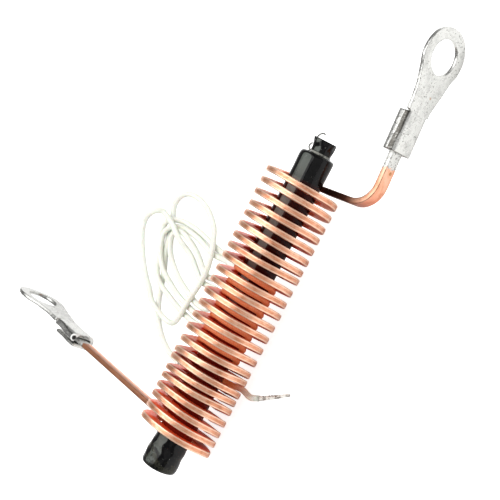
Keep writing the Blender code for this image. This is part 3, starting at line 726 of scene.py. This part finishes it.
def colour(name, words, value):
    """A colour that a user would change."""
    return FloatVectorProperty(name=name, description=words, default=value, min=0.0, max=1.0, subtype="COLOR")


class CoilSizes(PropertyGroup):
    """Sizes of the finish that stay inside the solids."""
    edge_radius: length("Strip edge radius", "Rounding of the copper strip's edges", 0.00032, 0.0001, 0.0007)
    unevenness: length("Turn unevenness", "How far a turn strays from round", 0.00012, 0.0, 0.0005)
    section_tip: FloatProperty(name="Section tip", description="Slope of the flats at the front, outward up",
                               default=0.09, min=0.0, max=0.2)
    sheet_rounding: length("Lug edge rounding", "Rounding of the lug's cut edges", 0.00028, 0.0001, 0.0006)
    crease_depth: length("Film creases", "Depth of the creases in the film", 0.00012, 0.0, 0.0004)


class CoilColours(PropertyGroup):
    """Colours of the finishes."""
    copper_pale: colour("Pale copper", "Clean copper", (0.92, 0.55, 0.38))
    copper_mid: colour("Copper", "Handled copper", (0.84, 0.41, 0.25))
    copper_dark: colour("Brown copper", "Tarnished copper", (0.55, 0.24, 0.14))
    # Painted dark reflection along the middle of each turn's rim.
    copper_rim_dark_reflection: colour("Turn middles", "Rubbed brown along the middle of a turn", (0.78, 0.58, 0.46))
    # Painted copper light: red on the flats between the turns and on the upper lead by the coil.
    copper_red_light: colour("Turn flats", "Copper between the turns", (0.80, 0.13, 0.045))
    # Paler painted copper light on the flats of the upper turns.
    copper_upper_light: colour("Upper turn flats", "Copper between the upper turns", (0.86, 0.36, 0.22))
    # Painted dark reflection on the lower lead's inner edge.
    copper_lower_lead_reflection: colour("Lower lead", "Brown edge of the lower lead", (0.40, 0.165, 0.085))
    # Painted shade on the upper lead by the coil and along the leads' corners.
    copper_lead_shade: colour("Upper lead by the coil", "Dark where the upper lead leaves", (0.050, 0.009, 0.005))
    # Painted dark reflection on the lower lead's flats.
    copper_lower_flat_reflection: colour("Lower lead's flats", "Stain beside the brown edge", (0.29, 0.090, 0.034))
    copper_lit: colour("Lowest turns", "Inside of the lowest turns, lit from below", (1.0, 0.20, 0.05))
    # Painted red copper light on the turns' insides.
    copper_inside_red_light: colour("Turn insides", "Copper toward the rod", (0.78, 0.07, 0.02))
    rust: colour("Burnt spots", "Orange brown spots by the upper lug", (0.42, 0.17, 0.045))
    tin: colour("Tin", "Clean tin", (0.74, 0.74, 0.71))
    tin_dark: colour("Dull tin", "Tin in its hollows", (0.52, 0.52, 0.50))
    tin_speck: colour("Tin specks", "Dark specks in the tin", (0.10, 0.095, 0.085))
    film: colour("Film", "Black shrunk film", (0.0012, 0.0012, 0.0015))
    film_worn: colour("Worn film", "Rubbed film", (0.005, 0.005, 0.005))
    # Painted highlight where the film faces up; also the grey of light through the shreds.
    film_painted_light: colour("Film dust", "Dust where the film faces up", (0.082, 0.092, 0.082))
    film_scuff: colour("Film scuffs", "Olive scuffs at the lower end", (0.030, 0.030, 0.020))
    # Pale flecks on the film, and the painted highlight at the neck and inside the turns.
    film_flecks_and_highlight: colour("Film flecks", "Pale flecks on the film", (0.30, 0.30, 0.27))
    film_warm: colour("Lit film", "Film that the copper lights inside the turns", (0.20, 0.014, 0.006))
    film_shaded: colour("Shaded film", "Film inside the upper turns", (0.045, 0.004, 0.002))
    wire: colour("Wire", "White braid", (0.94, 0.95, 0.88))
    # Dirt on the braid, and the painted shade in its grooves and toward its edges.
    wire_dirt_and_shade: colour("Wire shade", "Soiled braid", (0.62, 0.65, 0.53))
    wound: colour("Wound wire", "Braid in the copper's light under the turns", (1.0, 0.42, 0.20))
    wound_shade: colour("Wound wire shade", "The same, shaded", (0.60, 0.13, 0.038))
    strand: colour("Strand", "Bare strand", (0.88, 0.87, 0.82))
    strand_dark: colour("Dark strand", "Dulled strand", (0.10, 0.055, 0.03))


class COIL_OT_copper_strip(Operator):
    """The copper strip: a rounded section carried along the upper lead, all turns and the lower lead"""
    bl_idname = "coil.copper_strip"
    bl_label = "Copper strip"

    def execute(self, context):
        sizes, colours = context.scene.coil_sizes, context.scene.coil_colours
        (up, up_wide), (low, low_wide) = upper_lead()[:2], lower_lead()[:2]
        q = np.linspace(FIRST_ANGLE, LAST_ANGLE, len(LEFT_HEIGHTS) * STEPS_A_TURN)
        fade = np.clip(np.minimum(q - q[0], q[-1] - q) / 2.0, 0, 1)
        radius = STRIP_MIDDLE + sizes.unevenness * fade * wobble(q, 4, 6, 31.0)
        turns = around(q, radius, turn_heights(q) + 0.6 * sizes.unevenness * fade * wobble(q, 9, 5, 9.0))
        tip = sizes.section_tip * np.sin(q) * fade
        turns[:, 1] -= STRIP_WIDTH / 2 * tip
        line = np.vstack([up[::-1], turns, low])
        wide = np.stack([-np.cos(q), tip, np.sin(q)], 1)
        wide = unit(np.vstack([np.tile(up_wide, (len(up), 1)), wide, np.tile(low_wide, (len(low), 1))]))
        run = run_of(line)
        normal = unit(np.cross(wide, unit(np.gradient(line, axis=0))))
        first, last = run[len(up)], run[-len(low)]
        slim = np.interp(run, [last, last + 0.006], [1.0, LOWER_LEAD_SLIM])[:, None, None]
        section = rounded_section(STRIP_WIDTH, STRIP_THICKNESS, sizes.edge_radius)[None]
        rings = line[:, None] + slim * (section[..., :1] * wide[:, None] + section[..., 1:] * normal[:, None])
        look = copper_look(colours, first, last, run[-1])
        make("copper_strip_coil_finish", [lay_down(rings)], look, ("copper_strip_coil",), uv=run)
        return {"FINISHED"}


def lug_outline(count):
    """The plate's edge as (along, across) points at even steps: barrel, neck and ring."""
    flat = BARREL_WIDTH / 2 - LUG_SHEET / 2 - EAR_BEND
    a = np.linspace(BARREL_LENGTH + NOTCH, RING_CENTRE - NECK_START, 24)
    t = np.clip((a - BARREL_LENGTH) / (RING_CENTRE - NECK_START - BARREL_LENGTH), 0, 1)
    at_ring = sqrt(LUG_RING_RADIUS ** 2 - NECK_START ** 2)
    neck = np.stack([a, BARREL_WIDTH / 2 + (at_ring - BARREL_WIDTH / 2) * t ** 1.7], 1)
    q = np.linspace(-asin(NECK_START / LUG_RING_RADIUS), pi / 2, 40)[1:]
    ring = np.stack([RING_CENTRE + LUG_RING_RADIUS * np.sin(q), LUG_RING_RADIUS * np.cos(q)], 1)
    half = np.vstack([[(0.0, 0.0), (0.0, flat), (BARREL_LENGTH - NOTCH, flat)], neck, ring])
    whole = np.vstack([half, half[-2::-1] * (1, -1)])
    return even(whole, count + 1)[:-1]


def lug_plate(rounding, seed):
    """Plate with its ring: from hole to edge and back, over top, rounded edge, underside and hole wall."""
    edge = lug_outline(260)
    way = unit(edge - (RING_CENTRE, 0))
    hole = way * LUG_HOLE_RADIUS + (RING_CENTRE, 0)
    tangent = unit(np.roll(edge, -1, 0) - np.roll(edge, 1, 0))
    inward = np.stack([-tangent[:, 1], tangent[:, 0]], 1)
    inward[np.sum(((RING_CENTRE, 0) - edge) * inward, 1) < 0] *= -1
    h, r = LUG_SHEET / 2, rounding
    start = hole + way * r * 0.7
    across = edge + inward * r - start
    q = np.linspace(0, pi / 2, 5)
    corner = np.stack([r * (1 - np.sin(q)), h - r * (1 - np.cos(q))], 1)
    loop = [(start + across * s, h) for s in np.linspace(0, 1, 9)]
    loop += [(edge + inward * a, b) for a, b in corner[1:]]
    loop += [(edge + inward * a, -b) for a, b in corner[::-1]]
    loop += [(start + across * s, -h) for s in np.linspace(1, 0, 9)[1:]]
    loop += [(hole, r * 0.7 - h), (hole, h - r * 0.7)]
    flat = np.stack([np.column_stack([p, np.full(len(p), c)]) for p, c in loop], 1)
    a, b = flat[..., 0], flat[..., 1]
    calm = np.clip((a - BARREL_LENGTH - 0.001) / 0.004, 0, 1)
    flat[..., 2] += calm * 0.00010 * (wobble(a, seed, 4, 0.017) + wobble(b, seed + 1, 3, 0.013))
    curl = np.clip(1 - np.abs(a - BARREL_LENGTH - 0.0015) / 0.006, 0, 1) ** 2 * (a > BARREL_LENGTH)
    flat[..., 2] -= 0.0005 * curl * (b / (BARREL_WIDTH / 2)) ** 2
    return flat


def lug_ears(seed, seam_place):
    """The two ears: an open C section carried along the barrel; the seam is wider toward the ring and lies at
    a distance along the section from the middle of the back."""
    half, depth = LUG_SHEET / 2, BARREL_DEPTH - LUG_SHEET
    w, r = BARREL_WIDTH / 2 - half, EAR_BEND
    q = np.linspace(0, pi / 2, 12)
    s, c = r * (1 - np.sin(q)), r * (1 - np.cos(q))
    corners = [(s - w, c - depth), (c - w, -s), (w - s, -c), (w - c, s - depth)]
    loop = np.vstack([[(0.0, -depth)]] + [np.stack(corner, 1) for corner in corners])
    loop = np.vstack([loop, loop, loop[:1]])
    reach = run_of(loop)
    girth = reach[-1] / 2
    stations = np.concatenate([[0, 0.00012], np.linspace(0.0006, BARREL_LENGTH - 0.0006, 22),
                               [BARREL_LENGTH - 0.00012, BARREL_LENGTH]])
    rings = []
    for a in stations:
        along = a / BARREL_LENGTH
        thin = 0.00012 if a in (stations[0], stations[-1]) else 0.0
        seam = (SEAM_AT_MOUTH + (SEAM_AT_RING - SEAM_AT_MOUTH) * along) / 2 + half * 0.4
        seam += 0.00012 * sin(9 * along + seed)
        at = np.linspace(seam_place + seam, seam_place + girth - seam, 72)
        line = np.stack([np.interp(at, reach, loop[:, k]) for k in (0, 1)], 1)
        t = unit(np.gradient(line, axis=0))
        off = np.stack([-t[:, 1], t[:, 0]], 1)
        thick = np.full(len(line), half + 0.00001 - thin)
        lip = np.minimum(np.arange(len(line)), np.arange(len(line))[::-1])
        thick *= np.where(lip == 0, 0.45, np.where(lip == 1, 0.85, 1.0))
        outline = np.vstack([line + off * thick[:, None], (line - off * thick[:, None])[::-1]])
        rings.append(np.column_stack([np.full(len(outline), a), outline]))
    return np.array(rings)


def place_lug(points, lead):
    """Lug points (along, across, above the plate's middle) at the end of a lead, in the row's frame."""
    p, (_, wide, along, normal, mouth) = np.asarray(points), lead
    return lay_down(mouth + p[..., :1] * along + p[..., 1:2] * wide + (PLATE_OFFSET + p[..., 2:]) * normal)


def solder_drop(seed):
    """An uneven drop under the seam: an ellipsoid whose radius is waved a little, poles closed."""
    th = np.linspace(0, pi, 24)[:, None]
    ph = np.linspace(0, 2 * pi, 32, endpoint=False)[None, :]
    pick = np.random.default_rng(seed)
    swell = 1 + 0.12 * (np.sin(2 * ph + pick.random() * 6) * np.sin(th) ** 2
                        + 0.6 * np.sin(3 * ph + 2 * th + pick.random() * 6) * np.sin(th) ** 3)
    across = np.sin(th) * swell
    drop = np.stack([across * np.cos(ph), across * np.sin(ph), np.cos(th) * np.ones_like(ph)], -1)
    return SOLDER_PLACE + drop * SOLDER_RADII


class COIL_OT_ring_lugs(Operator):
    """Both folded ring lugs, each a plate and its ears in two tinned finishes, with solder in the seam"""
    bl_idname = "coil.ring_lugs"
    bl_label = "Ring lugs"

    def execute(self, context):
        sizes, colours = context.scene.coil_sizes, context.scene.coil_colours
        solder = solder_look(colours)
        for end, lead, seed, seam, shade, fold_at, painted_hole in (
                ("upper", upper_lead(), 3, 0.0, 1.0, (0.144, 0.194, 0.7), None),
                ("lower", lower_lead(), 8, 0.0040, 0.80, (0.046, 0.064, 0.0), PAINTED_HOLE_IN_LUG)):
            plate = lug_plate(sizes.sheet_rounding, seed)
            closed = np.vstack([plate, plate[:1]])
            make(end + "_lug_plate", [place_lug(closed, lead)],
                 tin_look(colours, end + "_tinned_sheet", shade), (end + "_ring_lug",), caps=False)
            make(end + "_lug_ears", [place_lug(lug_ears(seed, seam), lead)],
                 tin_look(colours, end + "_tinned_barrel", shade ** 0.5, fold_at, painted_hole))
            make(end + "_lug_solder_finish", [place_lug(solder_drop(seed), lead)], solder,
                 (end + "_lug_solder",), caps=False)
        return {"FINISHED"}


# Outside of the film in millimetres: height, shift to the side and radius past the film's own. The rows
# from FILM_AT_TOP on are counted from the rod's upper end; the last one ends the neck.
FILM_PROFILE = [(0, -0.3, -0.8), (0.3, -0.3, -0.1), (1.0, -0.3, 0.2), (3.5, -0.3, 0.25), (9.0, -0.1, 0.05),
                (14.0, 0, 0), (50.0, 0, 0), (-4.0, 0, 0), (1.0, 0, 0), (1.7, 0.1, -0.25), (2.0, 0.2, -0.9),
                (2.1, 0.3, -1.5), (2.35, 0.35, -1.75), (2.6, 0.4, -2.05), (3.7, 0.4, -2.1), (5.2, 0.2, -1.8),
                (2.0 + NECK_LENGTH / MM, 0.1, -1.6)]
FILM_AT_TOP = 7
# Two loose shreds at the neck, in millimetres from the middle of its end.
SHRED_RADIUS = 0.00026
FILM_SHREDS = [
    [(-2.75, -0.3, 0.9), (-2.45, 0.7, 0.8), (-1.95, 1.4, 0.7), (-1.4, 1.65, 0.6), (-0.8, 1.6, 0.5)],
    [(-3.1, -2.1, 0.6), (-3.45, -2.5, 0.5), (-3.6, -3.1, 0.4), (-3.45, -3.7, 0.4), (-2.9, -4.2, 0.5)]]


class COIL_OT_rod_and_film(Operator):
    """The ferrite rod and the black film round it: circles carried along the rod, creased where it shrank"""
    bl_idname = "coil.rod_and_film"
    bl_label = "Rod and film"

    def execute(self, context):
        sizes, colours = context.scene.coil_sizes, context.scene.coil_colours
        top, r, w = ROD_START + ROD_LENGTH, FILM_RADIUS, FILM_WALL
        rows = np.array(FILM_PROFILE) * MM + (0, 0, r)
        rows[FILM_AT_TOP:, 0] += top
        outer = spline(rows, 260)
        inner = outer[::-1] - (0, 0, w)
        inner = inner[(inner[:, 0] > 0.0004)]
        inner = inner - np.outer(np.clip((inner[:, 0] - top - 0.0005) / 0.0015, 0, 1), (0.0002, 0, 0))
        foot = np.array([(w, -0.0003, r - 0.0006), (w, -0.0003, 0.0034), (0.0, -0.0003, 0.0034)])
        rows = np.vstack([outer, inner, foot, outer[:1]])
        q = np.linspace(0, 2 * pi, 96, endpoint=False)[None, :]
        y, x, rad = (rows[:, k][:, None] for k in range(3))
        outside = np.arange(len(rows))[:, None] < len(outer)
        low = np.exp(-((y - 0.006) / 0.005) ** 2)
        neck = np.clip((y - top - 0.001) / 0.001, 0, 1)
        crease = (low * (np.sin(3 * q + y * 900) * 0.6 + np.sin(7 * q - y * 1700) * 0.4)
                  + neck * (np.sin(5 * q + y * 1500) * 0.7 + np.sin(11 * q) * 0.25))
        rad = rad + outside * sizes.crease_depth * crease
        rings = np.stack([x + rad * np.cos(q), y + 0 * q, rad * np.sin(q)], -1)
        make("heat_shrink_sleeve_finish", [lay_down(rings)], film_look(colours),
             ("heat_shrink_sleeve",), caps=False, uv=rows[:, 0])
        shreds = []
        for points in FILM_SHREDS:
            line = spline(np.array(points) * MM + (0, NECK_FOOT + NECK_LENGTH, 0), 24)
            shreds.append(tube_rings(lay_down(line), SHRED_RADIUS, 8, (1, 0, 0.2)))
        make("film_shreds", shreds, shred_look(colours))
        ends = np.array([(0.0, -0.5), (0.08, -0.2), (0.3, 0.0)]) * MM
        ends = np.vstack([ends + (ROD_START, ROD_RADIUS), ends[::-1] * (-1, 1) + (top, ROD_RADIUS)])
        rod = np.stack([ends[:, 1:] * np.cos(q), ends[:, :1] + 0 * q, ends[:, 1:] * np.sin(q)], -1)
        make("ferrite_rod_finish", [lay_down(rod)], ferrite_look(), ("ferrite_rod",))
        return {"FINISHED"}


def winding_line():
    """Centre line of the winding, from the short lead's cut end up to the long lead: a helix that keeps under
    the strip's turns, a half circle back behind the rod, and a curve out at each end."""
    q = np.linspace(HIGH_EXIT, RETURN, 480)
    turns = around(q, WINDING_RADIUS, turn_heights(q) - UNDER_STRIP)
    half = (turns[-1, 1] - LOW_EXIT_HEIGHT) / 2
    t = np.linspace(0, pi, 40)[1:]
    turned = RETURN + half / WINDING_RADIUS * np.sin(t)
    back = around(turned, WINDING_RADIUS, LOW_EXIT_HEIGHT + half * (1 + np.cos(t)))
    # The short lead goes off straight from the rod and then down to the floor.
    leave = around(LOW_EXIT, WINDING_RADIUS, LOW_EXIT_HEIGHT)
    way = np.array([-sin(LOW_EXIT), 0, -cos(LOW_EXIT)])
    steps = np.array([(0.003, 0.0), (0.0065, 0.0002), (0.0103, 0.0006)])
    tail = leave + steps[:, :1] * way + steps[:, 1:] * (0, 1, 0)
    rest = (np.array([(0.0091, 0.0316, 0.0016), (0.0120, 0.0328, 0.00135)]) - (0, 0, SHIFT[2])) @ TURN
    # The long lead bends out behind the rod.
    out = np.array([(0.0016, 0.00005, -0.00675), (0.0032, 0.0001, -0.0082), (0.00405, 0.00015, -0.0101),
                    (0.00426, 0.0002, -0.0121)]) + (0, turns[0, 1], 0)
    low_end = spline(np.vstack([leave, tail, rest]), 44)
    high_end = spline(np.vstack([turns[:1], out]), 32)[1:]
    return np.vstack([high_end[::-1], turns, back, low_end])[::-1]


# Long free wire: layer by layer, across and along on the floor in millimetres from the rod's foot.
ROUTE = [
    (2, [(-20.4, 64.1), (-29.2, 62.8), (-37.6, 62.5), (-45.3, 63.5), (-54.0, 64.2), (-61.4, 63.7),
         (-66.0, 61.3), (-66.5, 57.2), (-63.1, 51.4), (-56.9, 45.2), (-48.4, 41.4), (-38.6, 39.6),
         (-28.9, 39.2), (-20.2, 41.9), (-15.4, 48.5), (-17.5, 56.0), (-23.8, 60.2), (-30.5, 61.0)]),
    (3, [(-38.0, 60.4), (-46.4, 62.0), (-55.1, 62.3), (-61.4, 61.3), (-64.2, 57.8), (-61.6, 52.6),
         (-55.3, 47.4), (-47.5, 43.9), (-38.6, 42.3), (-29.9, 41.8), (-22.8, 43.9), (-20.4, 49.0),
         (-22.9, 54.2), (-28.6, 55.4)]),
    (4, [(-35.0, 53.2), (-43.2, 56.6), (-51.5, 60.4), (-57.5, 60.9), (-61.1, 57.6), (-58.2, 53.0),
         (-48.0, 47.8), (-38.6, 45.3), (-33.0, 44.3), (-27.9, 44.8), (-24.6, 48.2), (-27.0, 51.9),
         (-31.5, 51.4)]),
    (5, [(-36.7, 50.9), (-43.3, 53.8), (-52.2, 58.3), (-59.8, 61.7), (-68.4, 63.3), (-76.1, 62.3),
         (-79.9, 58.4), (-77.7, 53.6), (-72.2, 48.2), (-65.2, 42.8), (-57.0, 38.5), (-47.6, 35.5),
         (-40.0, 34.2), (-35.8, 37.1), (-35.7, 42.8), (-34.9, 49.1), (-34.8, 55.8), (-37.4, 62.4),
         (-44.4, 67.5)]),
    (0, [(-51.7, 71.5), (-59.6, 73.2), (-67.4, 71.9), (-69.6, 67.4), (-66.1, 63.1), (-63.6, 58.3),
         (-60.6, 52.2), (-56.0, 46.4), (-53.2, 41.0), (-49.3, 35.4), (-42.8, 30.2), (-34.7, 26.9),
         (-26.4, 25.9)])]
BEND_EASE = 0.0040
HUMP_EASE = 0.0045
ROUTE_STEPS = 800
DRAWN_STEPS = 1200


def smoothed(values, ease):
    """Values averaged over a soft window that reaches this many steps to either side, without the ends."""
    weight = np.hanning(2 * ease + 3)[1:-1]
    return np.convolve(values, weight / weight.sum(), "valid")


def lay(start, way):
    """The route as a line on the floor that climbs in long humps over what lies in a lower layer."""
    flat = np.array([(x, y, layer) for layer, points in ROUTE for x, y in points]) * (MM, MM, 1e-6)
    down = start + way * (start[2] - WIRE_RADIUS) / -way[2]
    first = np.array([[start[0], start[1], 2e-6], [down[0], down[1], 2e-6]])
    line = spline(np.vstack([first, flat]), ROUTE_STEPS)
    xy, layer = line[:, :2], np.round(line[:, 2] * 1e6, 1)
    ease = int(round(BEND_EASE / np.linalg.norm(line[1, :2] - line[0, :2])))
    before = xy[0] + (xy[0] - xy[1]) * np.arange(ease, 0, -1)[:, None]
    after = xy[-1] + (xy[-1] - xy[-2]) * np.arange(1, ease + 1)[:, None]
    padded = np.vstack([before, xy, after])
    xy = np.stack([smoothed(padded[:, k], ease) for k in (0, 1)], 1)
    run = run_of(xy)
    floor = WIRE_RADIUS + 0.0001
    fall = np.linalg.norm(down[:2] - start[:2])
    z = floor + np.clip(1 - run / (fall * 1.5), 0, 1) ** 1.5 * (start[2] - floor)
    pitch = 2 * WIRE_RADIUS + 0.0001
    ease = int(round(HUMP_EASE / (run[-1] / (len(run) - 1))))
    hold = ease * 2 // 3
    placed = np.zeros(len(z), bool)
    for level in sorted(set(np.round(layer))):
        mine, below = np.round(layer) == level, np.flatnonzero(placed)
        for i in np.flatnonzero(mine):
            j = below[np.abs(run[below] - run[i]) > 10 * WIRE_RADIUS]
            d = np.linalg.norm(xy[j] - xy[i], axis=1)
            near = d < pitch
            if near.any():
                z[i] = max(z[i], (z[j[near]] + np.sqrt(pitch ** 2 - d[near] ** 2)).max())
        raised = np.array([z[max(0, i - hold):i + hold + 1].max() for i in range(len(z))])
        z[mine] = np.maximum(smoothed(np.pad(raised, ease, mode="edge"), ease), floor)[mine]
        placed |= mine
    z = np.convolve(np.pad(z, 3, mode="edge"), np.ones(7) / 7, "valid")
    z[0] = start[2]
    return np.column_stack([xy, z])


class COIL_OT_white_wire(Operator):
    """The white wire: a round section carried along the winding, the short lead and the long free lead"""
    bl_idname = "coil.white_wire"
    bl_label = "White wire"

    def execute(self, context):
        colours = context.scene.coil_colours
        white = wire_look("braided_insulation", colours.wire, colours.wire_dirt_and_shade)
        placed = lay_down(winding_line())
        lit = wire_look("braid_lit_by_copper", colours.wire, colours.wire_dirt_and_shade,
                        (colours.wound, colours.wound_shade, 0.0005, run_of(placed)[-1] - 0.004))
        make("wire_winding_finish", [tube_rings(placed, DRAWN_RADIUS, WIRE_SIDES, TURN @ (0.02, 1, 0.03))],
             lit, ("wire_winding",), uv=run_of(placed))
        end, way = placed[-1] - SHIFT * (1, 1, 0), unit(placed[-1] - placed[-2])
        route = on_floor(lay(end + way * 0.0005, way))
        route = even(route, DRAWN_STEPS)
        lead = make("finish_lead_wire", [tube_rings(route, DRAWN_RADIUS, WIRE_SIDES, (0.03, 0.02, 1))],
                    white, ("finish_lead",), uv=run_of(route))
        tip, way = route[-1], unit(route[-1] - route[-2])
        bare = tip + way * np.linspace(0.0002, BARE_END, 16)[:, None]
        strands = twisted("finish_lead_bare_end", bare, colours, "finish_lead_strands")
        # The short lead's bare end lies on the floor.
        cut = np.array([(0.0124, 0.0330, 0.00132), (0.0174, 0.0361, 0.0010), (0.0217, 0.0390, 0.0008)])
        twisted("start_lead_bare_end", on_floor(spline(cut, 60)), colours, "start_lead_strands")
        return {"FINISHED"}


def twisted(name, line, colours, node):
    """A twist of bare strands round a line, drawn together toward the tip."""
    run = run_of(line)
    t = unit(np.gradient(line, axis=0))
    side = unit(np.cross((0.05, 0.03, 1.0), t))
    other = np.cross(t, side)
    close = CORE_RADIUS * 0.95 * (1 - 0.45 * run / run[-1])
    parts = []
    for k in range(STRANDS):
        turn = 2 * pi * (k / (STRANDS - 1) + run / STRAND_PITCH) if k else 0 * run
        off = close if k else 0 * close
        centre = line + (off * np.cos(turn))[:, None] * side + (off * np.sin(turn))[:, None] * other
        parts.append(tube_rings(centre, CORE_RADIUS * 0.46 * (1 - 0.25 * run / run[-1]), 8, (0.05, 0.03, 1)))
    return make(name, parts, strand_look(colours), (node,))


def floor_look():
    """White paper without a sheen, lifted toward white where it is seen."""
    n = Nodes("white_floor")
    n.fix(Base_Color=(0.86, 0.86, 0.86, 1), Roughness=0.9, Specular_IOR_Level=0.0)
    path = n.add("ShaderNodeLightPath").outputs
    mirrored = n.times(path["Is Glossy Ray"], FLOOR_GLOW_MIRRORED)
    glow, both = n.add("ShaderNodeEmission"), n.add("ShaderNodeAddShader")
    n.join(n.math("MULTIPLY_ADD", path["Is Camera Ray"], FLOOR_GLOW, mirrored), glow.inputs["Strength"])
    n.join(n.shader.outputs[0], both.inputs[0])
    n.join(glow.outputs[0], both.inputs[1])
    n.join(both.outputs[0], n.tree.nodes["Material Output"].inputs["Surface"])
    return n.look


def card_look():
    """Grey card that gives off an even light."""
    n = Nodes("dark_card")
    n.fix(Base_Color=(0.02, 0.02, 0.02, 1), Emission_Color=(1, 1, 1, 1), Emission_Strength=CARD_LEVEL)
    return n.look


def sheet(name, look, middle, side, high):
    """A flat piece of the stage, from its middle and two half sides."""
    mesh = bpy.data.meshes.new(name)
    corners = [middle + side * a + high * b for a, b in ((-1, -1), (1, -1), (1, 1), (-1, 1))]
    mesh.from_pydata(np.array(corners).tolist(), [], [(0, 1, 2, 3)])
    mesh.materials.append(look)
    return show(name, mesh)


class COIL_OT_stage(Operator):
    """Floor, light tent, camera, lamp and grey card"""
    bl_idname = "coil.stage"
    bl_label = "Stage"

    def execute(self, context):
        scene = context.scene
        floor = sheet("floor", floor_look(), *(np.array([(0, 0, 0), (1, 0, 0), (0, 1, 0)]) * FLOOR_HALF))

        scene.world = bpy.data.worlds.new("light_tent")
        scene.world.use_nodes = True
        n = Nodes(tree=scene.world.node_tree)
        path = n.add("ShaderNodeLightPath").outputs
        level = n.span(path["Is Glossy Ray"], 0.0, 1.0, TENT_LEVEL, TENT_MIRRORED)
        back = n.tree.nodes["Background"].inputs
        back["Color"].default_value = (1, 1, 1, 1)
        n.join(n.span(path["Is Camera Ray"], 0.0, 1.0, level, 1.0), back["Strength"])

        place, right, up = (np.array(q) for q in (CAMERA_PLACE, CAMERA_RIGHT, CAMERA_UP))
        look_back, right = unit(np.cross(right, up)), unit(right)
        up = unit(np.cross(look_back, right))
        camera = bpy.data.cameras.new("camera")
        camera.sensor_fit = "AUTO"
        camera.sensor_width = SENSOR
        camera.lens = SENSOR * FOCAL_PIXELS / FRAME_PIXELS
        camera.clip_start, camera.clip_end = 0.01, 20
        scene.camera = show("camera", camera)
        turn = np.eye(4)
        turn[:3] = np.stack([right, up, look_back, place], 1)
        scene.camera.matrix_world = Matrix(turn.tolist())

        lamp = bpy.data.lights.new("overhead_box", "AREA")
        lamp.shape, lamp.energy = "RECTANGLE", LAMP_WATTS
        lamp.size, lamp.size_y = LAMP_SIZE
        ob = show("overhead_box", lamp)
        ob.location = LAMP_PLACE
        ob.rotation_euler = (-Vector(LAMP_PLACE)).to_track_quat("-Z", "Y").to_euler()

        middle = place + look_back * CARD_BEHIND + right * CARD_OFFSET
        card = sheet("dark_card", card_look(), middle, right * CARD_HALF, up * CARD_HALF_HEIGHT)
        card.visible_camera = False
        card.visible_shadow = False
        scene.view_settings.view_transform = "Standard"
        return {"FINISHED"}


class COIL_PT_panel(Panel):
    """Lists the coil's pieces"""
    bl_label = "Arc starting coil"
    bl_idname = "COIL_PT_panel"
    bl_space_type = "VIEW_3D"
    bl_region_type = "UI"
    bl_category = "Coil"

    def draw(self, context):
        for group in (context.scene.coil_sizes, context.scene.coil_colours):
            for key in group.__annotations__:
                self.layout.prop(group, key)
        for piece in PIECES:
            self.layout.operator(piece.bl_idname)


PIECES = (COIL_OT_white_wire, COIL_OT_copper_strip, COIL_OT_ring_lugs, COIL_OT_rod_and_film, COIL_OT_stage)
CLASSES = (CoilSizes, CoilColours) + PIECES + (COIL_PT_panel,)


def register():
    """Makes the panel, operators and settings known."""
    for cls in CLASSES:
        bpy.utils.register_class(cls)
    bpy.types.Scene.coil_sizes = PointerProperty(type=CoilSizes)
    bpy.types.Scene.coil_colours = PointerProperty(type=CoilColours)


def unregister():
    """Takes them away again."""
    del bpy.types.Scene.coil_colours
    del bpy.types.Scene.coil_sizes
    for cls in reversed(CLASSES):
        bpy.utils.unregister_class(cls)


def main():
    """Builds every piece in order."""
    register()
    bpy.ops.coil.stage()
    bpy.ops.coil.white_wire()
    bpy.ops.coil.copper_strip()
    bpy.ops.coil.ring_lugs()
    bpy.ops.coil.rod_and_film()


if __name__ == "__main__":
    main()
